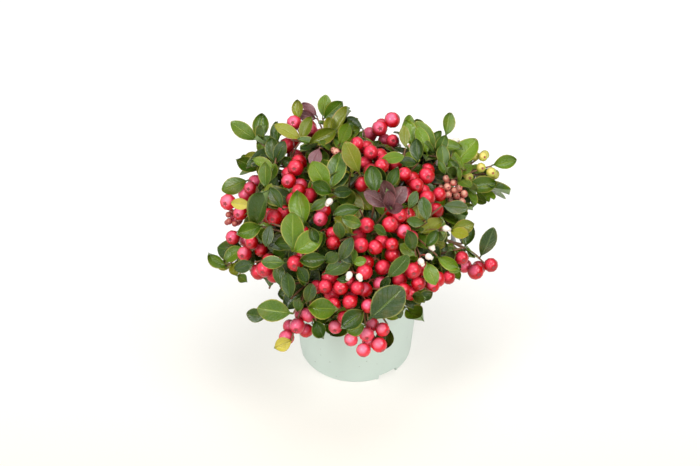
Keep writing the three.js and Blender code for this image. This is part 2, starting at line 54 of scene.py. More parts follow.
camera_data = bpy.data.cameras.new("camera")
camera_data.sensor_width = CAMERA_SENSOR
camera_data.lens = CAMERA_LENS
camera_data.clip_end = CAMERA_FAR_CLIP
camera = bpy.data.objects.new("camera", camera_data)
bpy.context.collection.objects.link(camera)
back = Vector((0, -math.cos(CAMERA_RISE), math.sin(CAMERA_RISE)))
camera.location = CAMERA_TARGET + back * CAMERA_DISTANCE
camera.rotation_euler = (math.pi / 2 - CAMERA_RISE, 0, 0)
bpy.context.scene.camera = camera

# Pot: a thin-walled 11 cm nursery pot of pale sage-green plastic, blow-moulded in one piece with a
# stepped rim. Three shallow channels run in under its foot, each with a drain hole.
POT_HEIGHT = 95
POT_BASE_RADIUS = 42.4
POT_WALL_TOP_RADIUS = 49.8
POT_RIM_RADIUS = 55
POT_RIM_DEPTH = 12
POT_COLLAR_STEP = 1.2
POT_WALL = 1.5
POT_FLOOR = 2
POT_FOOT_ROUND = 1.4
POT_LIP_ROUND = 0.9
POT_MOUTH_ROUND = 0.8
POT_SIDES = 96
CHANNEL_AZIMUTHS = (-55, 65, 185)
CHANNEL_WIDTH = 16
CHANNEL_HEIGHT = 4
CHANNEL_START = 20
CHANNEL_CUT = 30
CUT_SPARE = 2
DRAIN_RADIUS = 3.5
DRAIN_AT = 30
DRAIN_SPAN = (-4, 8)
DRAIN_SIDES = 24
POT_COLOUR = (0.573, 0.669, 0.612, 1)
POT_SHADE_COLOUR = (0.506, 0.598, 0.543, 1)
POT_SPECK_COLOUR = (0.20, 0.24, 0.19, 1)
POT_SPECK_FINENESS = 230.0
POT_SPECK_RADIUS = 0.1
POT_SPECK_SHARE = 0.5


def new_piece(name, points, edges, faces):
    """An object from points in millimetres."""
    mesh = bpy.data.meshes.new(name)
    mesh.from_pydata([tuple(0.001 * float(c) for c in p) for p in points], edges, faces)
    piece = bpy.data.objects.new(name, mesh)
    bpy.context.collection.objects.link(piece)
    return piece


def mesh_piece(name, points, faces, smooth=True):
    """An object with faces, smooth or flat."""
    piece = new_piece(name, points, [], faces)
    piece.data.validate()
    piece.data.polygons.foreach_set("use_smooth", [smooth] * len(piece.data.polygons))
    return piece


def turned(name, profile, sides):
    """A body of revolution from (radius, height) pairs that start and end on the axis."""
    points, faces, rings = [], [], []
    for radius, height in profile:
        if radius == 0:
            rings.append([len(points)] * sides)
            points.append((0, 0, height))
            continue
        rings.append(list(range(len(points), len(points) + sides)))
        for i in range(sides):
            turn = 2 * math.pi * i / sides
            points.append((radius * math.cos(turn), radius * math.sin(turn), height))
    for low, high in zip(rings, rings[1:]):
        for i in range(sides):
            k = (i + 1) % sides
            corners = [low[i], low[k], high[k], high[i]]
            faces.append(list(dict.fromkeys(corners)))
    return mesh_piece(name, points, faces)


def box_piece(name, size, centre, azimuth):
    """A box, turned about the pot's axis."""
    points = []
    for x in (-0.5, 0.5):
        for y in (-0.5, 0.5):
            for z in (-0.5, 0.5):
                points.append([s * c + o for s, c, o in zip(size, (x, y, z), centre)])
    turn = Matrix.Rotation(math.radians(azimuth), 3, "Z")
    faces = [(0, 1, 3, 2), (4, 6, 7, 5), (0, 4, 5, 1), (2, 3, 7, 6), (0, 2, 6, 4), (1, 5, 7, 3)]
    return mesh_piece(name, [turn @ Vector(p) for p in points], faces, smooth=False)


def joined_by(piece, other, operation):
    """Joins another solid to a piece, or cuts it out, and drops the other."""
    modifier = piece.modifiers.new("join", "BOOLEAN")
    modifier.operation = operation
    modifier.object = other
    modifier.solver = "EXACT"
    as_plain_mesh(piece)
    bpy.data.objects.remove(other)


def as_plain_mesh(piece):
    """Fixes what a piece's modifiers make as its own mesh."""
    depsgraph = bpy.context.evaluated_depsgraph_get()
    made = bpy.data.meshes.new_from_object(piece.evaluated_get(depsgraph), depsgraph=depsgraph)
    piece.modifiers.clear()
    piece.data = made
    made.name = piece.name


def shade_smooth_by_angle(piece, degrees):
    """Smooth faces, with the edges over an angle kept sharp."""
    piece.data.polygons.foreach_set("use_smooth", [True] * len(piece.data.polygons))
    piece.data.set_sharp_from_angle(angle=math.radians(degrees))


def new_material(name):
    """An empty node material with its Principled shader."""
    material = bpy.data.materials.new(name)
    material.use_nodes = True
    return material, material.node_tree, material.node_tree.nodes["Principled BSDF"]


def add_node(tree, kind, links=(), **values):
    """A node with its properties, and its inputs set to values or linked from other nodes' sockets."""
    node = tree.nodes.new(kind)
    for key, value in values.items():
        setattr(node, key, value)
    for socket, source in dict(links).items():
        if isinstance(source, bpy.types.NodeSocket):
            tree.links.new(source, node.inputs[socket])
        else:
            node.inputs[socket].default_value = source
    return node


def maths(tree, operation, *inputs):
    """One sum, product or comparison."""
    return add_node(tree, "ShaderNodeMath", enumerate(inputs), operation=operation).outputs[0]


def product(tree, first, *others):
    """Values multiplied together."""
    for other in others:
        first = maths(tree, "MULTIPLY", first, other)
    return first


def ramp(tree, value, low, high, **kind):
    """A share that goes from 0 to 1 as a value goes from low to high."""
    links = {"Value": value, "From Min": low, "From Max": high}
    return add_node(tree, "ShaderNodeMapRange", links, **kind).outputs[0]


def clamped(tree, value):
    """A value held between 0 and 1."""
    return add_node(tree, "ShaderNodeClamp", {0: value}).outputs[0]


def mixed(tree, share, first, second):
    """A mix of two colours by a share."""
    return add_node(tree, "ShaderNodeMix", {0: share, 6: first, 7: second}, data_type="RGBA").outputs[2]


def own_place(tree):
    """A point's place on its own piece."""
    return add_node(tree, "ShaderNodeTexCoord").outputs["Object"]


def new_group(name, kind, inputs, outputs):
    """A node group with its named inputs, as title, type and value, and its named outputs."""
    group = bpy.data.node_groups.new(name, kind)
    for title, socket_kind, value in inputs:
        socket = group.interface.new_socket(title, in_out="INPUT", socket_type="NodeSocket" + socket_kind)
        if value is not None:
            socket.default_value = value
    for title, socket_kind in outputs:
        group.interface.new_socket(title, in_out="OUTPUT", socket_type="NodeSocket" + socket_kind)
    return group, group.nodes.new("NodeGroupInput").outputs, group.nodes.new("NodeGroupOutput").inputs


# Mottling: soft cloudy change over a surface, and the fine unevenness of its skin.
mottling, given, made = new_group(
    "mottling",
    "ShaderNodeTree",
    [("Position", "Vector", None), ("Size", "Float", 60.0), ("Fine size", "Float", 900.0)],
    [("Cloud", "Float"), ("Grain", "Float")],
)
for title, size, detail in (("Cloud", "Size", 3.0), ("Grain", "Fine size", 2.0)):
    links = {"Vector": given["Position"], "Scale": given[size], "Detail": detail}
    pattern = add_node(mottling, "ShaderNodeTexNoise", links)
    mottling.links.new(pattern.outputs["Fac"], made[title])


def effect_in(tree, group, links):
    """A node group placed in a material, with its values."""
    return add_node(tree, "ShaderNodeGroup", links, node_tree=group).outputs


def mottled(tree, size, fine_size):
    """The mottling over a piece, at its coarse and its fine scale."""
    return effect_in(tree, mottling, {"Position": own_place(tree), "Size": size, "Fine size": fine_size})


def relief(tree, shader, height, strength, distance):
    """A bump from a height, on a shader's normal."""
    bump = add_node(tree, "ShaderNodeBump", {"Height": height, "Strength": strength, "Distance": distance})
    tree.links.new(bump.outputs["Normal"], shader.inputs["Normal"])


def arc(centre_radius, centre_height, radius, start, end, steps):
    """(radius, height) pairs round a corner."""
    pairs = []
    for i in range(steps + 1):
        turn = math.radians(start + (end - start) * i / steps)
        pairs.append((centre_radius + radius * math.cos(turn), centre_height + radius * math.sin(turn)))
    return pairs


rim_foot = POT_HEIGHT - POT_RIM_DEPTH
collar = POT_RIM_RADIUS - POT_COLLAR_STEP
widening = POT_WALL_TOP_RADIUS - POT_BASE_RADIUS
pot_profile = [
    (0, 0),
    (POT_BASE_RADIUS - 4, 0),
    *arc(POT_BASE_RADIUS - 1.3, POT_FOOT_ROUND, POT_FOOT_ROUND, -90, -3, 5),
    *((POT_BASE_RADIUS + widening * s, 1.5 + (rim_foot - 2.5) * s) for s in (0.25, 0.5, 0.75, 1)),
    (POT_WALL_TOP_RADIUS + 0.5, rim_foot - 0.2),
    *arc(collar - 1.4, rim_foot + 1.3, 1, -80, 0, 4),
    (collar - 0.2, POT_HEIGHT - 4),
    (collar, POT_HEIGHT - 2.6),
    *arc(POT_RIM_RADIUS - POT_LIP_ROUND, POT_HEIGHT - POT_LIP_ROUND, POT_LIP_ROUND, -60, 90, 7),
    *arc(collar - POT_WALL + POT_MOUTH_ROUND, POT_HEIGHT - POT_MOUTH_ROUND, POT_MOUTH_ROUND, 90, 180, 4),
    (collar - 1 - POT_WALL, rim_foot + 2.4),
    (POT_WALL_TOP_RADIUS - POT_WALL, rim_foot + 1),
    (POT_BASE_RADIUS - POT_WALL, POT_FLOOR),
    (0, POT_FLOOR),
]

pot = turned("pot_shell", pot_profile, POT_SIDES)
inner = CHANNEL_START - POT_WALL
outer = POT_BASE_RADIUS - 1
height = CHANNEL_HEIGHT + POT_WALL
roof = (outer - inner, CHANNEL_WIDTH + 2 * POT_WALL, height), ((inner + outer) / 2, 0, height / 2)
cut_middle = (CHANNEL_START + CHANNEL_CUT / 2, 0, (CHANNEL_HEIGHT - CUT_SPARE) / 2)
cut = (CHANNEL_CUT, CHANNEL_WIDTH, CHANNEL_HEIGHT + CUT_SPARE), cut_middle
drain_low, drain_high = DRAIN_SPAN
drain_profile = [(0, drain_low), (DRAIN_RADIUS, drain_low), (DRAIN_RADIUS, drain_high), (0, drain_high)]
for azimuth in CHANNEL_AZIMUTHS:
    joined_by(pot, box_piece("roof", *roof, azimuth), "UNION")
    joined_by(pot, box_piece("channel", *cut, azimuth), "DIFFERENCE")
    drain = turned("drain", drain_profile, DRAIN_SIDES)
    offset = Matrix.Rotation(math.radians(azimuth), 4, "Z") @ Matrix.Translation((0.001 * DRAIN_AT, 0, 0))
    drain.data.transform(offset)
    joined_by(pot, drain, "DIFFERENCE")
shade_smooth_by_angle(pot, 40)

pot_finish, tree, shader = new_material("sage_plastic")
clouds = mottled(tree, 38.0, 1400.0)
base = mixed(tree, clouds["Cloud"], POT_SHADE_COLOUR, POT_COLOUR)
cells = add_node(tree, "ShaderNodeTexVoronoi", {"Vector": own_place(tree), "Scale": POT_SPECK_FINENESS})
near = maths(tree, "LESS_THAN", cells.outputs["Distance"], POT_SPECK_RADIUS)
chosen = add_node(tree, "ShaderNodeSeparateColor", {"Color": cells.outputs["Color"]})
few = maths(tree, "GREATER_THAN", chosen.outputs[0], POT_SPECK_SHARE)
speck = product(tree, near, few, chosen.outputs[1])
tree.links.new(mixed(tree, speck, base, POT_SPECK_COLOUR), shader.inputs["Base Color"])
rough = maths(tree, "MULTIPLY_ADD", clouds["Grain"], 0.14, 0.45)
tree.links.new(rough, shader.inputs["Roughness"])
shader.inputs["Specular IOR Level"].default_value = 0.4
relief(tree, shader, clouds["Grain"], 0.25, 0.0002)
pot.data.materials.clear()
pot.data.materials.append(pot_finish)
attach(pot, "root")
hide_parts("pot")

# Compost: dark crumbly potting compost that fills the pot to a finger's width below its rim.
# Its top is uneven, with crumbs on it.
COMPOST_FOOT = CHANNEL_HEIGHT + POT_WALL + 0.3
COMPOST_TOP = 84
COMPOST_CLEARANCE = 0.7
COMPOST_RINGS = 26
COMPOST_SIDES = 110
LUMP_ROOM = 1.3
LUMPS_FROM = 0.08
LUMP_FINENESS = 160
CRUMB_FINENESS = 520
COMPOST_COLOUR = (0.030, 0.020, 0.014, 1)
COMPOST_DRY_COLOUR = (0.085, 0.058, 0.038, 1)

slope = widening / rim_foot
compost_radius = POT_BASE_RADIUS + slope * COMPOST_TOP - POT_WALL - COMPOST_CLEARANCE
compost_base_radius = POT_BASE_RADIUS + slope * COMPOST_FOOT - POT_WALL - COMPOST_CLEARANCE
compost_profile = [(0, COMPOST_FOOT), (compost_base_radius, COMPOST_FOOT)]
for i in range(COMPOST_RINGS):
    compost_profile.append((compost_radius * (1 - i / COMPOST_RINGS), COMPOST_TOP - LUMP_ROOM))
compost_profile.append((0, COMPOST_TOP - LUMP_ROOM))
compost = turned("compost_fill", compost_profile, COMPOST_SIDES)
for vertex in compost.data.vertices:
    if vertex.co.z < LUMPS_FROM:
        continue
    lump = noise.fractal(vertex.co * LUMP_FINENESS, 0.9, 2.1, 4)
    crumb = noise.noise(vertex.co * CRUMB_FINENESS)
    edge = min(1, 12 * (1 - math.hypot(vertex.co.x, vertex.co.y) * 1000 / compost_radius))
    vertex.co.z += 0.001 * max(-1.2, min(1.5, (0.9 * lump + 0.5 * crumb) * edge))

compost_finish, tree, shader = new_material("potting_compost")
clouds = mottled(tree, 420.0, 1800.0)
tree.links.new(mixed(tree, clouds["Cloud"], COMPOST_COLOUR, COMPOST_DRY_COLOUR), shader.inputs["Base Color"])
shader.inputs["Roughness"].default_value = 0.95
relief(tree, shader, clouds["Grain"], 0.9, 0.0012)
compost.data.materials.append(compost_finish)
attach(compost, "root")
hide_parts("compost")

# Growth: many thin woody stems rise from the compost, arch over the rim and carry the crown. Each shoot
# follows one smooth curve from its foot over its arch to its tip, and its foliage keeps a space of its own.
FOOT_SHARE = 0.38
FOOT_NEAREST = 13
ARCH = 46
ARCH_OUT = 0.35
ARCH_UP = 0.75
ROOTSTOCK_HEIGHT = 12
GAP = 0.3
SPACE_RADIUS = 40
MIDDLE_SHARE = 0.93
ENTRY_FIRST = 0.5
ENTRY_LAST = 0.9
ENTRY_STEP = 0.02
STEM_TIP_RADIUS = 1.15
STEM_FOOT_RADIUS = 1.9
STEM_POINTS = 60
POT_CLEARANCE = 1
RIM_INSIDE = 6
SEED = 4021
SEED_PRIME = 16807
SEED_LIMIT = 2147483647
SKIPPED_DRAWS = 5
GOLDEN_ANGLE = 137.5
CROWN_HEART = np.array((0.0, 0.0, 70.0))
UP = np.array((0.0, 0.0, 1.0))

# name, azimuth, reach, height, berries, hang azimuth, leaf tint, berry tint
SHOOTS = [
    ("front_low", -86, 80, 98, 5, -90, "green", "pale"),
    ("front_left_low", -121, 80, 98, 4, -100, "deep", "pink"),
    ("front_right_low", -62, 78, 112, 3, -70, "green", "red"),
    ("right_front_low", -36, 80, 108, 3, -60, "green", "red"),
    ("right_low", -5, 90, 94, 3, -30, "green", "red"),
    ("right_far", 21, 96, 146, 3, 0, "green", "unripe"),
    ("back_right_low", 48, 84, 108, 4, 48, "green", "red"),
    ("back_low", 84, 80, 100, 4, 90, "deep", "red"),
    ("back_left_low", 122, 84, 106, 4, 120, "green", "pink"),
    ("left_back_low", 158, 84, 98, 3, 160, "deep", "red"),
    ("left_low", -172, 90, 92, 1, -150, "green", "red"),
    ("left_front_low", -146, 78, 108, 3, -120, "green", "red"),
    ("left_mid", 172, 84, 122, 4, -140, "deep", "pink"),
    ("left_front", -130, 64, 140, 3, -110, "green", "pink"),
    ("front_mid", -95, 68, 122, 3, -90, "green", "red"),
    ("right_front", -40, 64, 142, 3, -70, "green", "red"),
    ("right_mid", 2, 72, 132, 3, -40, "green", "red"),
    ("right_top", 36, 72, 166, 2, -40, "green", "pale"),
    ("back_mid", 84, 62, 142, 4, 90, "green", "red"),
    ("left_top", 148, 78, 162, 3, -120, "green", "red"),
    ("back_left_mid", 124, 66, 138, 3, 120, "green", "red"),
    ("left_heart", -164, 50, 154, 3, -100, "green", "red"),
    ("front_heart", -76, 50, 150, 3, -80, "deep", "red"),
    ("heart", -122, 18, 174, 2, -90, "green", "red"),
    ("right_heart", 2, 38, 168, 4, -70, "green", "red"),
    ("top_right", 72, 44, 168, 5, -80, "green", "red"),
    ("top_left", 120, 42, 180, 4, -90, "green", "pink"),
]


def seeded_random(seed):
    """The same run of numbers from 0 to 1 each time, for one seed."""
    state = seed % SEED_LIMIT
    while True:
        state = (state * SEED_PRIME) % SEED_LIMIT
        yield state / SEED_LIMIT


def numbers_for(seed):
    """A seed's run of numbers, past its first few, which lie close together for neighbouring seeds."""
    random = seeded_random(seed)
    for _ in range(SKIPPED_DRAWS):
        next(random)
    return random


def between(random, low, high):
    return low + (high - low) * next(random)


def ring_point(azimuth, radius, height):
    """A point at an azimuth, radius and height about the pot's axis."""
    turn = math.radians(azimuth)
    return np.array((radius * math.cos(turn), radius * math.sin(turn), height))


def unit(vector):
    return vector / math.sqrt(float(vector @ vector))


def cross(a, b):
    return np.array((a[1] * b[2] - a[2] * b[1], a[2] * b[0] - a[0] * b[2], a[0] * b[1] - a[1] * b[0]))


class GrowthLine:
    """The curve that a stem or twig follows, over its arch to its tip."""

    def __init__(self, foot, arch, tip):
        self.foot, self.arch, self.tip = foot, arch, tip
        self.side = unit(cross(arch - foot, tip - foot))

    def at(self, t):
        return self.foot * (1 - t) ** 2 + self.arch * 2 * t * (1 - t) + self.tip * t * t

    def length(self):
        middle = self.at(0.5)
        return float(np.linalg.norm(self.foot - middle) + np.linalg.norm(middle - self.tip))


def line_of(shoot):
    """The growth line of a row of the table of shoots."""
    name, azimuth, reach, height = shoot[:4]
    foot = ring_point(azimuth, max(FOOT_SHARE * reach, FOOT_NEAREST), COMPOST_TOP + GAP)
    if name == "heart":
        foot = ring_point(azimuth, 0, COMPOST_TOP + ROOTSTOCK_HEIGHT + 2 * GAP)
    rise = height - COMPOST_TOP
    out = math.hypot(foot[0], foot[1])
    arch_height = COMPOST_TOP + ARCH_UP * rise + ARCH * (1 - rise / 100)
    arch = ring_point(azimuth, out + ARCH_OUT * (reach - out), arch_height)
    return GrowthLine(foot, arch, ring_point(azimuth, reach, height))


lines = [line_of(shoot) for shoot in SHOOTS]
centres = np.array([line.at(MIDDLE_SHARE) for line in lines])


def room_at(index, point):
    """How far inside its own space a point lies."""
    own = point - centres[index]
    distance = float(own @ own)
    others = np.delete(centres, index, axis=0)
    apart = np.linalg.norm(others - centres[index], axis=1)
    planes = (((point - others) ** 2).sum(axis=1) - distance) / (2 * apart)
    return min(SPACE_RADIUS - math.sqrt(distance), float(planes.min()))


def entry_of(index):
    """Where a stem ends, as it enters its mass's space."""
    t = ENTRY_LAST
    while t > ENTRY_FIRST and room_at(index, lines[index].at(t - ENTRY_STEP)) > STEM_TIP_RADIUS + GAP:
        t -= ENTRY_STEP
    return t


entries = [entry_of(i) for i in range(len(SHOOTS))]
stem_points = np.array(
    [line.at(entry * i / STEM_POINTS) for line, entry in zip(lines, entries) for i in range(STEM_POINTS + 1)]
)


def clear_of_stems(point, radius):
    """True if a ball keeps clear of every stem."""
    reach = radius + STEM_FOOT_RADIUS + GAP
    return float(((stem_points - point) ** 2).sum(axis=1).min()) > reach * reach


def clear_of_pot(point, radius):
    """True if a ball keeps clear of the pot and its compost."""
    out = math.hypot(point[0], point[1])
    margin = radius + POT_CLEARANCE
    if point[2] > POT_HEIGHT + margin:
        return True
    wall = POT_RIM_RADIUS
    if point[2] <= rim_foot:
        wall = POT_BASE_RADIUS + slope * max(point[2], 0)
    if out > wall + margin:
        return True
    return out < POT_RIM_RADIUS - RIM_INSIDE - margin and point[2] > COMPOST_TOP + margin


def ball_fits(index, point, radius):
    """True if a ball lies in its mass's own space, clear of the pot and the stems."""
    roomy = room_at(index, point) > radius + GAP / 2
    return roomy and clear_of_pot(point, radius) and clear_of_stems(point, radius)


# Bark: the thin reddish-brown skin of the rootstock and the stems, with fine ridges along them. A stem
# tapers from its foot along its growth line, and the rootstock flares where it meets the compost.
STEM_SIDES = 12
STEM_MARKS = 15
ROOTSTOCK_SIDES = 28
ROOTSTOCK_TAPER = (
    (0, 7.4), (0.1, 6.6), (0.2, 5.9), (0.35, 5.3), (0.55, 4.9), (0.75, 4.7), (0.92, 4.4), (1, 3.8),
)
BARK_COLOUR = (0.135, 0.070, 0.042, 1)
BARK_LIGHT_COLOUR = (0.27, 0.155, 0.10, 1)
ROOTSTOCK_RIDGES = (420, 420, 90)
ROOTSTOCK_RIDGE_DEPTH = 0.09
BARK_RELIEF = 0.16
BARK_RELIEF_SIZE = 1500.0


def named(tree, title, kind):
    """The value of a named attribute."""
    links = {"Name": title}
    return add_node(tree, "GeometryNodeInputNamedAttribute", links, data_type=kind).outputs["Attribute"]


def limb_tree():
    """A tree that gives a skeleton of edges its round limbs, with a ridged skin."""
    tree, given, made = new_group(
        "limbs_on_lines",
        "GeometryNodeTree",
        [
            ("Lines", "Geometry", None),
            ("Sides", "Int", 8),
            ("Relief", "Float", 0.1),
            ("Relief size", "Float", 1500.0),
            ("Finish", "Material", None),
        ],
        [("Limbs", "Geometry")],
    )
    curve = add_node(tree, "GeometryNodeMeshToCurve", {0: given["Lines"]}).outputs[0]
    thick = named(tree, "thick", "FLOAT")
    ring = add_node(tree, "GeometryNodeCurvePrimitiveCircle", {"Resolution": given["Sides"], "Radius": 1.0})
    links = {"Curve": curve, "Profile Curve": ring.outputs[0], "Scale": thick, "Fill Caps": True}
    tube = add_node(tree, "GeometryNodeCurveToMesh", links).outputs[0]
    ridges = add_node(tree, "ShaderNodeTexNoise", {"Scale": given["Relief size"], "Detail": 2.0})
    centred = maths(tree, "SUBTRACT", ridges.outputs[0], 0.5)
    depth = product(tree, centred, given["Relief"], named(tree, "thick", "FLOAT"))
    normal = add_node(tree, "GeometryNodeInputNormal").outputs[0]
    pushed_out(tree, tube, normal, depth, given["Finish"], made[0])
    return tree


def pushed_out(tree, surface, way, height, finish, result):
    """Ends a tree: its surface is moved along a way by a height, shaded smooth and given its finish."""
    push = add_node(tree, "ShaderNodeVectorMath", {0: way, "Scale": height}, operation="SCALE").outputs[0]
    moved = add_node(tree, "GeometryNodeSetPosition", {"Geometry": surface, "Offset": push}).outputs[0]
    smooth = add_node(tree, "GeometryNodeSetShadeSmooth", {"Geometry": moved}).outputs[0]
    whole = add_node(tree, "GeometryNodeRealizeInstances", {"Geometry": smooth}).outputs[0]
    done = add_node(tree, "GeometryNodeSetMaterial", {"Geometry": whole, "Material": finish}).outputs[0]
    tree.links.new(done, result)


limbs_on_lines = limb_tree()


def put_through(piece, tree, values):
    """Runs a piece through a Geometry Nodes tree with its inputs set, and keeps the mesh that it makes."""
    modifier = piece.modifiers.new("made", "NODES")
    modifier.node_group = tree
    for item in tree.interface.items_tree:
        if item.item_type == "SOCKET" and item.in_out == "INPUT" and item.name in values:
            modifier[item.identifier] = values[item.name]
    bpy.context.view_layer.update()
    as_plain_mesh(piece)
    return piece


def set_on_mesh(mesh, title, kind, values):
    """Gives every point of a mesh its value."""
    field = "vector" if kind == "FLOAT_VECTOR" else "value"
    mesh.attributes.new(title, kind, "POINT").data.foreach_set(field, values)


def limbs(name, paths, finish, sides, relief_depth, relief_size):
    """One mesh of tapering limbs, each from a list of points and a radius at each."""
    points, edges, thick = [], [], []
    for path, radii in paths:
        first = len(points)
        points.extend(path)
        thick.extend(0.001 * r for r in radii)
        edges.extend((first + i, first + i + 1) for i in range(len(path) - 1))
    piece = new_piece(name, points, edges, [])
    set_on_mesh(piece.data, "thick", "FLOAT", thick)
    values = {"Sides": sides, "Relief": relief_depth, "Relief size": relief_size, "Finish": finish}
    return put_through(piece, limbs_on_lines, values)


def tapered(line, start, end, foot_radius, tip_radius, marks):
    """Points and radii of a limb along a growth line."""
    shares = [i / (marks - 1) for i in range(marks)]
    path = [line.at(start + (end - start) * s) for s in shares]
    return path, [foot_radius + (tip_radius - foot_radius) * s for s in shares]


def woody_finish(name, dark, light, size, roughness):
    """Bark that is mottled along its limbs."""
    material, tree, shader = new_material(name)
    clouds = mottled(tree, size, size * 6)
    tree.links.new(mixed(tree, clouds["Cloud"], dark, light), shader.inputs["Base Color"])
    shader.inputs["Roughness"].default_value = roughness
    relief(tree, shader, clouds["Grain"], 0.6, 0.0003)
    return material


bark = woody_finish("bark", BARK_COLOUR, BARK_LIGHT_COLOUR, 260.0, 0.8)

rootstock_foot = COMPOST_TOP + GAP
rootstock_profile = [
    (0, rootstock_foot),
    *((radius, rootstock_foot + ROOTSTOCK_HEIGHT * share) for share, radius in ROOTSTOCK_TAPER),
    (0, rootstock_foot + ROOTSTOCK_HEIGHT),
]
rootstock = turned("rootstock_bark", rootstock_profile, ROOTSTOCK_SIDES)
for vertex in rootstock.data.vertices:
    ridge = noise.noise(vertex.co * Vector(ROOTSTOCK_RIDGES))
    vertex.co.xy *= 1 + ROOTSTOCK_RIDGE_DEPTH * min(0.4, ridge)
rootstock.data.materials.append(bark)
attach(rootstock, "root")
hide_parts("rootstock")

stem_paths = []
for line, entry in zip(lines, entries):
    stem_paths.append(tapered(line, 0, entry, STEM_FOOT_RADIUS, STEM_TIP_RADIUS, STEM_MARKS))
stems = limbs("stems_bark", stem_paths, bark, STEM_SIDES, BARK_RELIEF, BARK_RELIEF_SIZE)
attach(stems, "root")
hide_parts(*["stem_" + shoot[0] for shoot in SHOOTS])

# Twigs: each stem goes on into its mass as a main twig with three side twigs, and finer twigs grow
# from these in the crown's skin. They are reddish-brown and end in a whorl of leaves.
SIDE_TWIGS = 3
SIDE_WAYS = 12
SIDE_SPREAD = 22
SIDE_DROP = 6
SIDE_APART = 80
SIDE_FIRST_SHARE = 0.74
SIDE_SHARE_STEP = 0.07
SIDE_TIP_ROOM = 5
FORK_SHARE = 0.8
FINE_TWIGS = 2
FINE_SPREAD = 17
FINE_DROP = 11
FINE_TIP_ROOM = 4
TWIG_BEND = 0.55
TWIG_LIFT = 2
TWIG_START_GAP = 0.36
TWIG_SIDES = 7
TWIG_RELIEF = 0.12
TWIG_RELIEF_SIZE = 2000.0
SHOWN_SINK = 8
SHOWN_TWIG_NEAR = 0.85
SHOWN_TWIG_FROM = 0.66
SHOWN_TWIG_BEND = 0.5
SHOWN_TWIG_LIFT = 5
SHOWN_TWIG_RADII = (0.9, 0.6)
BLOSSOM_TWIG_RADII = (0.7, 0.5)
TWIG_COLOUR = (0.16, 0.055, 0.035, 1)
TWIG_LIGHT_COLOUR = (0.24, 0.13, 0.05, 1)

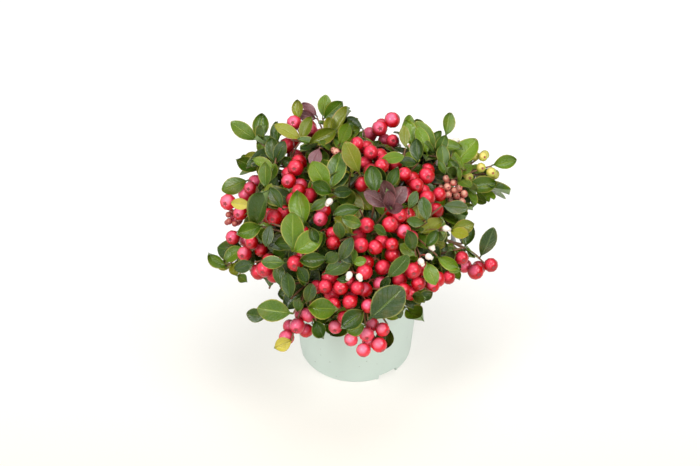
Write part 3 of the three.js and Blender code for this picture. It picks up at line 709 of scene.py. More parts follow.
# Sprays that stand out of the crown at the front: azimuth, reach and height of the twig's tip, leaf
# length, tint, and the ways that its leaves point as seen from the front, in degrees from the right.
SPRAYS = [
    (112, 66, 172, 19, "green", (80, 35)),
    (115, 68, 172, 17, "bronze", (132, 165)),
    (134, 57, 167, 23, "young", (148, 78)),
    (142, 44, 175, 24, "young", (20,)),
    (119, 33, 180, 19, "green", (14, -35)),
    (146, 87, 160, 23, "green", (150, 82, 42)),
    (144, 82, 158, 15, "deep", (22, -25)),
    (149, 79, 150, 15, "young", (170,)),
    (153, 80, 144, 20, "green", (162,)),
    (-174, 65, 160, 19, "green", (90,)),
    (159, 85, 138, 20, "green", (202,)),
    (163, 62, 163, 18, "deep", (95, 60)),
    (-121, 37, 179, 26, "green", (122, 72)),
    (-119, 38, 178, 20, "deep", (154, 0)),
    (-116, 42, 176, 15, "green", (198,)),
    (-82, 21, 184, 27, "young", (117,)),
    (-103, 19, 184, 20, "deep", (100, 200)),
    (-9, 17, 184, 16, "green", (5,)),
    (-53, 36, 179, 18, "deep", (60, 120)),
    (83, 41, 177, 16, "deep", (150,)),
    (-61, 49, 173, 21, "bronze", (150, 118, 85, 55, 0)),
    (38, 83, 162, 19, "green", (75,)),
    (29, 66, 159, 27, "green", (118,)),
    (45, 74, 163, 16, "deep", (140,)),
    (22, 75, 150, 31, "green", (50,)),
    (31, 82, 152, 12, "young", (160,)),
    (6, 45, 175, 17, "deep", (100, 170)),
    (27, 40, 177, 16, "young", (95,)),
    (9, 70, 155, 20, "deep", (166, 196)),
    (20, 78, 145, 16, "green", (32,)),
    (15, 83, 136, 25, "green", (12,)),
    (15, 87, 129, 14, "green", (-15,)),
    (-22, 66, 159, 19, "deep", (-8,)),
    (19, 106, 148, 18, "green", (14,)),
    (-41, 66, 159, 17, "deep", (98, 190)),
    (-49, 75, 149, 15, "deep", (55,)),
    (-29, 77, 147, 18, "young", (15, -20)),
    (-57, 77, 146, 14, "green", (152,)),
    (-58, 74, 150, 16, "deep", (105,)),
    (-52, 81, 140, 16, "green", (-75,)),
    (-45, 81, 140, 19, "green", (-30,)),
    (-53, 90, 118, 18, "deep", (190,)),
    (-6, 92, 96, 25, "deep", (65,)),
    (-24, 86, 129, 16, "deep", (78,)),
    (-33, 90, 118, 11, "green", (170,)),
    (-157, 77, 146, 31, "deep", (62,)),
    (-173, 76, 147, 16, "yellow", (176,)),
    (-167, 67, 159, 11, "young", (70,)),
    (-153, 76, 148, 21, "green", (202,)),
    (-126, 76, 148, 28, "green", (88,)),
    (-125, 63, 162, 25, "green", (102,)),
    (-124, 76, 148, 26, "green", (32,)),
    (-127, 81, 140, 20, "green", (178,)),
    (-112, 72, 153, 15, "deep", (75,)),
    (-148, 71, 154, 17, "deep", (255,)),
    (-120, 78, 145, 20, "deep", (2,)),
    (-107, 76, 148, 18, "deep", (30,)),
    (-107, 81, 140, 21, "deep", (27,)),
    (-114, 85, 133, 15, "deep", (115,)),
    (-113, 90, 118, 15, "deep", (68,)),
    (-93, 62, 163, 18, "young", (137,)),
    (-71, 64, 162, 16, "deep", (135,)),
    (-100, 65, 160, 17, "deep", (100,)),
    (-92, 75, 149, 14, "deep", (135,)),
    (-92, 75, 149, 11, "green", (85, 12)),
    (-93, 81, 140, 11, "deep", (185,)),
    (-121, 90, 117, 19, "deep", (97,)),
    (-127, 89, 122, 16, "deep", (100,)),
    (-117, 91, 109, 12, "deep", (78,)),
    (-119, 92, 106, 28, "green", (170,)),
    (-111, 90, 115, 28, "green", (0,)),
    (-134, 92, 89, 16, "deep", (172,)),
    (-108, 92, 105, 15, "deep", (-62,)),
    (-119, 90, 82, 16, "yellow", (200,)),
    (-85, 91, 112, 31, "deep", (42,)),
    (-87, 90, 116, 21, "deep", (203,)),
    (-86, 92, 105, 17, "green", (180,)),
    (-73, 77, 89, 18, "deep", (-97,)),
    (-62, 86, 119, 19, "deep", (-24,)),
    (-75, 82, 138, 21, "deep", (42,)),
    (-79, 85, 132, 14, "deep", (60,)),
    (-71, 89, 120, 12, "deep", (-80,)),
    (-172, 96, 92, 17, "green", (145,)),
    (-173, 98, 94, 18, "green", (38,)),
    (-172, 92, 92, 12, "young", (190, -60)),
    (-158, 92, 101, 10, "green", (-30,)),
    (-147, 87, 125, 16, "deep", (200,)),
    (125, 73, 171, 16, "young", (95,)),
    (127, 19, 184, 18, "green", (60,)),
    (151, 30, 181, 16, "bronze", (250,)),
    (-69, 38, 178, 20, "deep", (100,)),
    (-99, 75, 149, 20, "deep", (60,)),
    (-119, 63, 162, 17, "deep", (300,)),
    (-147, 62, 163, 19, "deep", (120,)),
    (-48, 55, 169, 16, "deep", (80,)),
    (-87, 47, 174, 20, "deep", (200,)),
    (-102, 54, 169, 17, "green", (340,)),
]

# Bunches of fruit that stand out there: azimuth, reach, height, berries, tint.
BUNCHES = [
    (128, 73, 168, 1, "pink"),
    (121, 64, 163, 3, "pink"),
    (137, 69, 155, 3, "red"),
    (169, 44, 166, 3, "red"),
    (-175, 48, 164, 2, "pink"),
    (-156, 44, 166, 3, "red"),
    (-149, 39, 169, 1, "red"),
    (73, 59, 164, 5, "pink"),
    (62, 57, 157, 1, "red"),
    (52, 17, 176, 6, "red"),
    (7, 22, 175, 1, "red"),
    (-57, 19, 176, 5, "red"),
    (-16, 44, 166, 6, "red"),
    (-15, 58, 156, 2, "red"),
    (3, 50, 163, 2, "red"),
    (-53, 50, 162, 4, "red"),
    (-56, 59, 155, 2, "pink"),
    (-67, 63, 151, 4, "red"),
    (-72, 60, 154, 1, "red"),
    (-97, 46, 165, 1, "red"),
    (-82, 51, 162, 1, "red"),
    (-87, 61, 153, 2, "red"),
    (-78, 68, 144, 3, "red"),
    (-82, 76, 131, 3, "pink"),
    (-120, 50, 162, 2, "pink"),
    (-115, 56, 158, 3, "red"),
    (-128, 61, 153, 1, "red"),
    (161, 81, 132, 3, "pink"),
    (169, 95, 126, 1, "pale"),
    (171, 85, 119, 2, "pink"),
    (179, 89, 106, 2, "pink"),
    (-160, 79, 126, 2, "red"),
    (-163, 83, 113, 1, "pale"),
    (-154, 64, 150, 3, "red"),
    (-143, 81, 120, 4, "red"),
    (-125, 74, 136, 2, "red"),
    (-106, 78, 127, 4, "red"),
    (-98, 78, 128, 4, "red"),
    (-89, 79, 125, 4, "pink"),
    (-93, 81, 118, 2, "red"),
    (-66, 80, 122, 4, "red"),
    (-59, 76, 133, 2, "red"),
    (-57, 80, 123, 1, "red"),
    (-49, 82, 116, 2, "pink"),
    (-42, 82, 114, 1, "red"),
    (-24, 82, 117, 1, "red"),
    (-10, 88, 88, 3, "pink"),
    (-8, 99, 93, 1, "red"),
    (-120, 83, 87, 6, "pink"),
    (-85, 84, 90, 8, "pale"),
    (-100, 84, 96, 1, "pale"),
    (5, 66, 151, 9, "bud"),
    (6, 73, 141, 8, "bud"),
    (49, 66, 157, 4, "bud"),
    (132, 21, 175, 4, "bud"),
    (173, 90, 118, 9, "spent"),
    (23, 101, 152, 3, "unripe"),
    (18, 104, 143, 2, "unripe"),
    (21, 88, 139, 1, "unripe"),
    (21, 98, 145, 1, "unripe"),
]

# Blossom that stands out there: azimuth, reach, height, bells.
BLOSSOM = [
    (-115, 42, 176, 1),
    (-91, 79, 143, 2),
    (-53, 78, 144, 2),
    (-47, 76, 148, 1),
    (37, 75, 154, 1),
    (-32, 73, 151, 1),
    (34, 86, 159, 1),
    (111, 48, 173, 1),
    (20, 62, 163, 1),
]

# Places where the crown is open to what is behind it: azimuth, reach, height and radius.
OPEN_PLACES = [
    (7, 89, 116, 8),
    (-10, 84, 118, 6),
    (-24, 77, 134, 5),
    (9, 96, 122, 6),
    (3, 97, 111, 8),
    (6, 105, 120, 9),
    (150, 90, 156, 5),
    (156, 80, 140, 4),
]


def skin_at(tip):
    """The ways round a tip that lie in the crown's own skin: outward, level and upward."""
    outward = unit(tip - CROWN_HEART)
    level = unit(cross(UP, outward))
    return outward, level, cross(outward, level)


def bent_twig(foot, tip, outward, bend, lift):
    """A twig from a foot to a tip, bowed outward."""
    return GrowthLine(foot, foot + (tip - foot) * bend + outward * lift, tip)


def side_twigs(index, random, count):
    """Side twigs leave the main twig and spread in the crown's skin, each to where its mass has most room."""
    line = lines[index]
    outward, level, upward = skin_at(line.tip)
    choices = []
    first = between(random, 0, 360 / SIDE_WAYS)
    for i in range(SIDE_WAYS):
        way = math.radians(first + i * 360 / SIDE_WAYS)
        for spread in (SIDE_SPREAD, SIDE_SPREAD * 0.75):
            tip = line.tip + level * spread * math.cos(way) + upward * spread * math.sin(way)
            tip = tip - outward * SIDE_DROP
            if ball_fits(index, tip, SIDE_TIP_ROOM):
                choices.append((room_at(index, tip) + spread, way, tip))
    choices.sort(key=lambda choice: -choice[0])
    twigs, ways = [], []
    for _, way, tip in choices:
        if len(twigs) == count:
            break
        if any(math.cos(way - other) > math.cos(math.radians(SIDE_APART)) for other in ways):
            continue
        start = line.at(max(SIDE_FIRST_SHARE + SIDE_SHARE_STEP * len(twigs), entries[index] + 0.05))
        twigs.append(bent_twig(start, tip, outward, TWIG_BEND, TWIG_LIFT))
        ways.append(way)
    return twigs


def fine_twigs(line, random, count):
    """Finer twigs leave a twig in turn by the golden angle and stay under its tip."""
    outward, level, upward = skin_at(line.tip)
    start = between(random, 0, 360)
    twigs = []
    for i in range(count):
        way = math.radians(start + i * GOLDEN_ANGLE)
        spread = FINE_SPREAD * between(random, 0.75, 1.1)
        drop = FINE_DROP * between(random, 0.6, 1.3)
        tip = line.tip + level * spread * math.cos(way) + upward * spread * math.sin(way) - outward * drop
        if clear_of_pot(tip, FINE_TIP_ROOM):
            foot = line.at(max(0.5, 1 - 0.16 * (i + 1)))
            twigs.append(bent_twig(foot, tip, outward, TWIG_BEND, TWIG_LIFT))
    return twigs


# Berries: round waxy fruit, 9 to 12 mm across, each on its own thin stalk. They hang in rings below the
# tips at the back, and in the front they stand in tight bunches, pressed a little into each other.
BERRY_RADIUS = 5
BERRY_NODE = 9
BERRY_NODE_STEP = 1.5
BERRY_SPACING = 1.06
STALK_LENGTH = 3.5
HANG_SLOPE = 0.75
HANG_SWAY = 15
SHOWN_RADIUS = 5.9
SHOWN_TURN = 70
PRESSED = 1.6
# Where the berries of a bunch lie in turn, in berry radii: aside, up and outward.
BUNCH_PLACES = (
    (0, 0, 0.85), (1, 0.6, -0.8), (-1, 0.6, -0.8), (0, -1.15, -0.8), (2, -0.1, 0.8), (-2, 0, 0.8),
    (1, -1.75, 0.8), (-1, -1.75, 0.8), (1, 1.8, 0.8), (-1, 1.8, 0.8), (0, 2.3, -0.8), (3, 0.6, -0.8),
    (-3, 0.6, -0.8),
)
BUNCH_DEPTH = 9
OPEN_WAY = np.array((0, -0.76, 0.65))
SMALL_FRUIT = {"unripe": 0.68, "bud": 0.5, "spent": 0.42}
berries = []


def berries_at(index, random, line, count, hang, tint):
    """A ring of berries below a tip, by the source's rule."""
    span = line.length()
    towards = unit(ring_point(hang + between(random, -HANG_SWAY, HANG_SWAY), 1, -HANG_SLOPE))
    first = unit(cross(towards, UP))
    second = cross(towards, first)
    middle = line.at(1 - BERRY_NODE / span) + towards * (STALK_LENGTH + BERRY_RADIUS)
    ring = BERRY_RADIUS * BERRY_SPACING / math.sin(math.pi / count) if count > 1 else 0
    nodes = [line.at(1 - (BERRY_NODE + BERRY_NODE_STEP * k) / span) for k in range(-3, 4)]
    start = between(random, 0, 360)
    for i in range(count):
        turn = math.radians(start + i * 360 / count)
        radius = BERRY_RADIUS * between(random, 0.9, 1.03)
        centre = middle + first * ring * math.cos(turn) + second * ring * math.sin(turn)
        centre = centre + towards * between(random, -1.5, 1.5)
        root = min(nodes, key=lambda node: float(np.linalg.norm(node - centre)))
        if ball_fits(index, centre, radius):
            add_berry(root, centre, radius, tint)


def add_berry(root, centre, radius, tint, shown=False):
    """Keeps a berry if no other is in its place. One that is shown keeps the way to the front open."""
    if any(np.linalg.norm(b["centre"] - centre) < b["radius"] + radius - PRESSED for b in berries):
        return False
    if not clear_of_pot(centre, radius - 1):
        return False
    berries.append({"root": root, "centre": centre, "radius": radius, "tint": tint, "shown": shown})
    return True


def bunch_at(random, point, count, tint):
    """A tight bunch of berries in the crown's skin, round a point, on stalks from one twig's tip."""
    outward = unit(skin_at(point)[0] * 0.35 + OPEN_WAY)
    level = unit(cross(UP, outward))
    upward = cross(outward, level)
    tip = point - outward * BUNCH_DEPTH + UP * 2
    turn = math.radians(between(random, -SHOWN_TURN, SHOWN_TURN))
    size = SHOWN_RADIUS * SMALL_FRUIT.get(tint, 1)
    aside = level * math.cos(turn) + upward * math.sin(turn)
    over = upward * math.cos(turn) - level * math.sin(turn)
    placed = 0
    for right, rise, out in BUNCH_PLACES:
        radius = size * between(random, 0.86, 1.06)
        centre = point + (aside * right + over * rise + outward * out) * size
        centre = centre + outward * size * between(random, -0.2, 0.2)
        placed += add_berry(tip, centre, radius, tint, True)
        if placed == count:
            break
    return tip


def twig_to(tip):
    """A twig to a tip from the nearest stem."""
    nearest = min(lines, key=lambda line: float(np.linalg.norm(line.at(SHOWN_TWIG_NEAR) - tip)))
    start = nearest.at(SHOWN_TWIG_FROM)
    return bent_twig(start, tip, skin_at(tip)[0], SHOWN_TWIG_BEND, SHOWN_TWIG_LIFT)


# Growth of the whole crown, shoot by shoot: twigs first, then berries, so that leaves can keep off them.
# On the side that shows, the sprays and bunches of the tables stand out before the shoots' own leaves.
BEHIND_FROM = 20
BEHIND_BELOW = 145
BESIDE_HANG = 40
SHOOT_SEED = 613
BUNCH_SEED = 7919
TWIG_MARKS = 6
SHOWN_TWIG_MARKS = 7

masses = ["foliage_" + shoot[0] for shoot in SHOOTS]
twig_paths = []
whorls = []
flowering = []
for index, shoot in enumerate(SHOOTS):
    height, count, hang, leaf_tint, berry_tint = shoot[3:]
    random = numbers_for(SEED + SHOOT_SEED * (index + 1))
    main = lines[index]
    behind = main.tip[1] > BEHIND_FROM and height < BEHIND_BELOW
    sides = side_twigs(index, random, SIDE_TWIGS)
    if behind:
        berries_at(index, random, main, count, hang, berry_tint)
        for k, twig in enumerate(sides):
            berries_at(index, random, twig, 1, hang + (-BESIDE_HANG if k else BESIDE_HANG), berry_tint)
    sink = 0 if behind else SHOWN_SINK
    start = entries[index] + TWIG_START_GAP / main.length()
    twig_paths.append(tapered(main, start, FORK_SHARE, STEM_TIP_RADIUS, 0.9, TWIG_MARKS))
    # Each whorl: its twig, leaves, their size and tint, leaves below it, how far it sinks, and where the
    # twig starts and how thick.
    whorls.append((main, 6, 1.0, leaf_tint, 5, sink, FORK_SHARE - 0.01, 0.9))
    for twig in sides:
        whorls.append((twig, 6, 0.95, leaf_tint, 4, sink, 0, 0.95))
    for twig in [main, *sides]:
        for fine in fine_twigs(twig, random, FINE_TWIGS):
            whorls.append((fine, 4, 0.85, leaf_tint, 0, 0.6 * sink, 0, 0.7))

random = seeded_random(SEED + BUNCH_SEED)
for azimuth, reach, height, count, tint in BUNCHES:
    before = len(berries)
    twig = twig_to(bunch_at(random, ring_point(azimuth, reach, height), count, tint))
    if len(berries) > before:
        twig_paths.append(tapered(twig, 0, 1, *SHOWN_TWIG_RADII, SHOWN_TWIG_MARKS))
for azimuth, reach, height, count in BLOSSOM:
    point = ring_point(azimuth, reach, height)
    twig = twig_to(point - 4 * skin_at(point)[0])
    twig_paths.append(tapered(twig, 0, 1, *BLOSSOM_TWIG_RADII, SHOWN_TWIG_MARKS))
    flowering.append((twig, count))

twig_skin = woody_finish("twig_skin", TWIG_COLOUR, TWIG_LIGHT_COLOUR, 300.0, 0.55)

# Leaves: leathery evergreen leaves, 20 to 28 mm long, broadest past the middle, with a short stalk, glossy
# above, with a thin pale margin. They stand in whorls round the tips and singly down the twigs.
LEAF_LENGTH = 25
LEAF_BREADTHS = (0.66, 0.53)
LEAF_BREADTH_HEIGHTS = (105, 160)
LEAF_STALK_SHARE = 0.1
LEAF_STALK_WIDTH = 0.045
LEAF_GAP = 0.4
LEAF_ROWS = (0, 0.05, 0.1, 0.17, 0.27, 0.4, 0.54, 0.68, 0.81, 0.91, 0.97, 1)
LEAF_ACROSS = (-1, -0.55, 0, 0.55, 1)
LEAN_FIRST = 34
LEAN_LAST = 96
LEAF_NODE_STEP = 2.2
LOWER_NODE = 14
LOWER_NODE_STEP = 6
VIEW_STEPS = (1.5, 2.5, 3.6, 4.8)
VIEW_WIDTH = 0.8
SPRAY_STEPS = (0, 3, 6, -3)
SPRAY_SEED = 15485
WHORL_SEED = 104729
SEED_STEP = 389
SKIRT_AZIMUTHS = (-180, -155, -135, -118, -85, -62, -35, 0, 40, 60, 160, 180)
SKIRT_HEIGHTS = (90, 100, 97, 84, 86, 98, 103, 97, 90, 76, 76, 90)


def leaf_half_width(share):
    """Half of a leaf's width at a share of its length, for a width of 1."""
    if share < LEAF_STALK_SHARE:
        return LEAF_STALK_WIDTH
    s = (share - LEAF_STALK_SHARE) / (1 - LEAF_STALK_SHARE)
    return max(LEAF_STALK_WIDTH * (1 - s), 0.5 * math.sin(math.pi * s**1.12) ** 0.64)


def leaf_shape():
    """A flat leaf of length and width 1 along +Y, with its place across and along in a UV map."""
    points, faces, across, along = [], [], [], []
    for share in LEAF_ROWS:
        half = leaf_half_width(share) if share < 1 else 0.02
        for aside in LEAF_ACROSS:
            points.append((1000 * half * aside, 1000 * share, 0))
            across.append(aside)
            along.append(share)
    columns = len(LEAF_ACROSS)
    for row in range(len(LEAF_ROWS) - 1):
        for k in range(columns - 1):
            a = row * columns + k
            faces.append((a, a + 1, a + 1 + columns, a + columns))
    piece = mesh_piece("leaf_shape", points, faces)
    uv = piece.data.uv_layers.new(name="blade")
    for loop in piece.data.loops:
        uv.data[loop.index].uv = (across[loop.vertex_index] * 0.5 + 0.5, along[loop.vertex_index])
    set_on_mesh(piece.data, "across", "FLOAT", across)
    set_on_mesh(piece.data, "along", "FLOAT", along)
    return piece


def spray_tree():
    """A tree that sets a shape on points, each turned and sized by its point, and bends it by its point."""
    tree, given, made = new_group(
        "set_on_points",
        "GeometryNodeTree",
        [
            ("Points", "Geometry", None),
            ("Shape", "Object", None),
            ("Droop", "Float", 0.0),
            ("Cupping", "Float", 0.0),
            ("Finish", "Material", None),
        ],
        [("Spray", "Geometry")],
    )
    shape = add_node(tree, "GeometryNodeObjectInfo", {"Object": given["Shape"]})
    links = {"Points": given["Points"], "Instance": shape.outputs["Geometry"]}
    links["Rotation"] = named(tree, "turn", "QUATERNION")
    links["Scale"] = named(tree, "size", "FLOAT_VECTOR")
    laid = add_node(tree, "GeometryNodeInstanceOnPoints", links).outputs[0]
    whole = add_node(tree, "GeometryNodeRealizeInstances", {"Geometry": laid}).outputs[0]
    along = named(tree, "along", "FLOAT")
    size = add_node(tree, "ShaderNodeSeparateXYZ", {0: named(tree, "size", "FLOAT_VECTOR")}).outputs
    fall = product(tree, along, along, named(tree, "droop", "FLOAT"), given["Droop"], size[1])
    edge = maths(tree, "POWER", maths(tree, "ABSOLUTE", named(tree, "across", "FLOAT")), 1.6)
    lift = product(tree, edge, given["Cupping"], named(tree, "cup", "FLOAT"), size[0])
    height = maths(tree, "SUBTRACT", lift, fall)
    pushed_out(tree, whole, named(tree, "face", "FLOAT_VECTOR"), height, given["Finish"], made[0])
    return tree


set_on_points = spray_tree()


def spray(name, shape, items, finish, droop=0.0, cupping=0.0):
    """One mesh of a shape set at many places. Each item gives place, across, along, face and size."""
    piece = new_piece(name, [item["place"] for item in items], [], [])
    turns, sizes, faces = [], [], []
    for item in items:
        axes = Matrix([item["across"], item["along"], item["face"]]).transposed()
        turns.extend(axes.to_quaternion())
        sizes.extend(0.001 * float(s) for s in item["size"])
        faces.extend(float(c) for c in item["face"])
    set_on_mesh(piece.data, "turn", "QUATERNION", turns)
    set_on_mesh(piece.data, "size", "FLOAT_VECTOR", sizes)
    set_on_mesh(piece.data, "face", "FLOAT_VECTOR", faces)
    for title in ("droop", "cup", "shade"):
        set_on_mesh(piece.data, title, "FLOAT", [float(item.get(title, 0)) for item in items])
    values = {"Shape": shape, "Droop": droop, "Cupping": cupping, "Finish": finish}
    return put_through(piece, set_on_points, values)


# Leaves keep off every berry. The shoots' own leaves also leave the way to the front open for the berries
# that show, and for the places where the crown is open.
fruit = [(b["centre"], b["radius"]) for b in berries]
views = [
    (b["centre"] + OPEN_WAY * b["radius"] * out, b["radius"] * VIEW_WIDTH)
    for b in berries
    if b["shown"]
    for out in VIEW_STEPS
]
for azimuth, reach, height, radius in OPEN_PLACES:
    views += [(ring_point(azimuth, reach, height) + OPEN_WAY * radius * k, radius) for k in range(-6, 3)]


def as_spheres(pairs):
    """Balls as an array of their centres and one of their radii."""
    return np.array([centre for centre, _ in pairs]), np.array([radius for _, radius in pairs])


off_fruit = as_spheres(fruit)
off_all = as_spheres(fruit + views)
leaves = []
# Where a blade is tested: rows at a share of its length, with half of its width there.
BLADE_ROWS = ((0.25, 0.3), (0.45, 0.46), (0.65, 0.46), (0.82, 0.34), (0.98, 0.1))
BLADE_POINTS = np.array([(share, aside) for share, half in BLADE_ROWS for aside in (-half, 0, half)])
BLADE_MIDDLE = 6
NEAR_LEAF = 26
# What a leaf without room tries in turn: a share of its size, a further lean and a turn.
SMALL_TURNS = (
    (1, 0, 0), (1, 0, 9), (1, 0, -9), (1, -12, 0), (0.9, 0, 16), (0.9, 0, -16), (0.9, -24, 0),
    (0.85, 10, 0), (0.8, -34, 10), (0.8, -34, -10), (0.8, 16, 20), (0.8, 16, -20),
)
WIDE_WAYS = ((0, 0), (0, 22), (0, -22), (10, 44), (10, -44), (-14, 0), (-14, 30), (14, 70), (14, -70))
WIDE_TURNS = tuple((less, more, turn) for less in (1, 0.85) for more, turn in WIDE_WAYS)


def leaf_samples(leaf):
    """Points in rows over a leaf."""
    width, length, _ = leaf["size"]
    share, aside = BLADE_POINTS[:, :1], BLADE_POINTS[:, 1:]
    flat = leaf["place"] + leaf["along"] * share * length + leaf["across"] * aside * width
    return flat - leaf["face"] * leaf["droop"] * length * share**2


def skirt_at(point):
    """The lowest that the shoots' own leaves hang, round the crown."""
    azimuth = math.degrees(math.atan2(point[1], point[0]))
    return float(np.interp(azimuth, SKIRT_AZIMUTHS, SKIRT_HEIGHTS))


def leaf_fits(leaf, off):
    """True if a leaf keeps off the spheres, the pot and the other leaves."""
    samples = leaf_samples(leaf)
    centres_off, radii_off = off
    if float((np.linalg.norm(samples[:, None] - centres_off[None], axis=2) - radii_off).min()) < LEAF_GAP:
        return False
    if not all(clear_of_pot(p, 0.2) for p in samples):
        return False
    if off is off_all and any(p[2] < skirt_at(p) for p in samples):
        return False
    near = [o for o in leaves if np.abs(o["middle"] - samples[BLADE_MIDDLE]).max() < NEAR_LEAF]
    if near and crosses(samples, near):
        return False
    return all(not crosses(o["samples"], [leaf]) for o in near)


def crosses(samples, others):
    """True if points lie on both sides of the blade of any of the other leaves."""
    titles = ("place", "along", "across", "face", "size", "droop")
    place, along, across, face, size, droop = (np.array([o[title] for o in others]) for title in titles)
    away = samples[:, None] - place[None]
    share = (away * along).sum(axis=2) / size[:, 1]
    aside = np.abs((away * across).sum(axis=2)) / size[:, 0]
    height = (away * face).sum(axis=2) + droop * size[:, 1] * share**2
    inside = (share > 0.15) & (share < 1.02) & (aside < 0.5) & (np.abs(height) < 6)
    above = (inside & (height > -0.5)).any(axis=0)
    below = (inside & (height < 0.5)).any(axis=0)
    return bool((above & below).any())


def grow_leaf(random, node, axes, lean, turn, length, tint, tries, off, rolling=22):
    """One leaf, turned aside a little where its place is taken."""
    axis, first, second = axes
    breadth = float(np.interp(node[2], LEAF_BREADTH_HEIGHTS, LEAF_BREADTHS))
    width = length * breadth * between(random, 0.86, 1.14)
    droop = between(random, -0.04, 0.3)
    cup = between(random, -0.1, 0.42)
    shade = next(random)
    roll = math.radians(between(random, -rolling, rolling))
    for less, more, nudge in tries:
        out = math.radians(lean + more)
        way = math.radians(turn + nudge)
        spoke = first * math.cos(way) + second * math.sin(way)
        along = axis * math.cos(out) + spoke * math.sin(out)
        level_face = axis * math.sin(out) - spoke * math.cos(out)
        face = level_face * math.cos(roll) + cross(along, level_face) * math.sin(roll)
        leaf = {
            "place": node - along * 0.2,
            "along": along,
            "across": cross(along, face),
            "face": face,
            "size": (width * less, length * less, length * less),
            "droop": droop,
            "cup": cup,
            "shade": shade,
            "tint": tint,
        }
        if leaf_fits(leaf, off):
            leaf["samples"] = leaf_samples(leaf)
            leaf["middle"] = leaf["samples"][BLADE_MIDDLE]
            leaves.append(leaf)
            return True
    return False


def whorl(line, count, size, tint, lower, sink, random):
    """Leaves round a tip, each turned on by the golden angle and leaning out further, and some below it.

    Gives the furthest share of the twig that holds a leaf.
    """
    span = line.length()
    axis = unit(skin_at(line.tip)[0] + UP * 0.5 + (OPEN_WAY * 0.35 if sink else 0))
    first = unit(line.side - axis * float(line.side @ axis))
    axes = axis, first, cross(axis, first)
    start = between(random, 0, 360)
    if tint == "green" and lower:
        tint = ("deep", "green", "deep", "green", "young")[int(4.5 * next(random))]
    held = 0
    for i in range(count):
        lean = LEAN_FIRST + (LEAN_LAST - LEAN_FIRST) * i / max(count, 4) + between(random, -14, 12)
        share = 1 - min(0.8, (0.8 + sink + LEAF_NODE_STEP * i) / span)
        length = LEAF_LENGTH * size * between(random, 0.72, 1.14) * (0.75 if i == 0 else 1)
        turn = start + i * GOLDEN_ANGLE + between(random, -24, 24)
        if grow_leaf(random, line.at(share), axes, lean, turn, length, tint, WIDE_TURNS, off_all):
            held = max(held, share)
    # Painted shade: the leaves below a whorl lie inside the crown and take the deep tint.
    for i in range(lower):
        share = 1 - min(0.85, (LOWER_NODE + sink + LOWER_NODE_STEP * i) / span)
        lean = between(random, 60, 110)
        turn = start + (count + i) * GOLDEN_ANGLE
        length = LEAF_LENGTH * between(random, 0.8, 1.05)
        if grow_leaf(random, line.at(share), axes, lean, turn, length, "deep", WIDE_TURNS, off_all):
            held = max(held, share)
    return held


def shown_spray(line, length, tint, ways, random):
    """Leaves at a tip that point their own ways as seen from the front, with their faces turned to it."""
    right = np.array((1.0, 0.0, 0.0))
    axis = unit(OPEN_WAY + skin_at(line.tip)[0] * 0.3)
    first = unit(right - axis * float(right @ axis))
    axes = axis, first, cross(axis, first)
    for i, way in enumerate(ways):
        node = line.at(1 - 1.5 * i / line.length())
        long = length * between(random, 0.94, 1.1)
        grow_leaf(random, node, axes, between(random, 52, 88), way, long, tint, SMALL_TURNS, off_fruit, 26)


for number, (azimuth, reach, height, length, tint, ways) in enumerate(SPRAYS):
    # A spray whose leaves lack room stands further out.
    before = len(leaves)
    outward = skin_at(ring_point(azimuth, reach, height))[0]
    for further in SPRAY_STEPS:
        del leaves[before:]
        twig = twig_to(ring_point(azimuth, reach, height) + outward * further)
        shown_spray(twig, length, tint, ways, numbers_for(SEED + SPRAY_SEED + SEED_STEP * number))
        if len(leaves) == before + len(ways):
            break
    if len(leaves) > before:
        twig_paths.append(tapered(twig, 0, 1, *SHOWN_TWIG_RADII, SHOWN_TWIG_MARKS))
for number, (line, count, size, tint, lower, sink, start, thickness) in enumerate(whorls):
    held = whorl(line, count, size, tint, lower, sink, numbers_for(SEED + WHORL_SEED + SEED_STEP * number))
    if held > start:
        twig_paths.append(tapered(line, start, held, thickness, 0.7 * thickness, TWIG_MARKS))

twigs = limbs("twigs", twig_paths, twig_skin, TWIG_SIDES, TWIG_RELIEF, TWIG_RELIEF_SIZE)
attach(twigs, "root")
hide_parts(*masses)

# Leaf markings: where the margin, the midrib and the side veins lie on a blade.
leaf_markings, given, made = new_group(
    "leaf_markings",
    "ShaderNodeTree",
    [("Blade", "Vector", None)],
    [("Margin", "Float"), ("Midrib", "Float"), ("Veins", "Float")],
)
blade = add_node(leaf_markings, "ShaderNodeSeparateXYZ", {0: given["Blade"]})
aside = maths(leaf_markings, "ABSOLUTE", maths(leaf_markings, "MULTIPLY_ADD", blade.outputs[0], 2.0, -1.0))
edge = ramp(leaf_markings, aside, 0.88, 0.97)
end = ramp(leaf_markings, blade.outputs[1], 0.965, 0.99)
back = product(leaf_markings, aside, 2.2)
slant = maths(leaf_markings, "SUBTRACT", product(leaf_markings, blade.outputs[1], 8.0), back)
wave = maths(leaf_markings, "SUBTRACT", maths(leaf_markings, "FRACT", slant), 0.5)
vein = ramp(leaf_markings, maths(leaf_markings, "ABSOLUTE", wave), 0.09, 0.01)
leaf_markings.links.new(maths(leaf_markings, "MAXIMUM", edge, end), made["Margin"])
leaf_markings.links.new(ramp(leaf_markings, aside, 0.10, 0.02), made["Midrib"])
leaf_markings.links.new(vein, made["Veins"])

LEAF_TINGE = (0.17, 0.085, 0.022, 1)
LEAF_UNDERSIDE = (0.16, 0.24, 0.08, 1)


def own_shade(tree):
    """The shade that each leaf or berry was dealt."""
    return add_node(tree, "ShaderNodeAttribute", attribute_name="shade").outputs["Fac"]


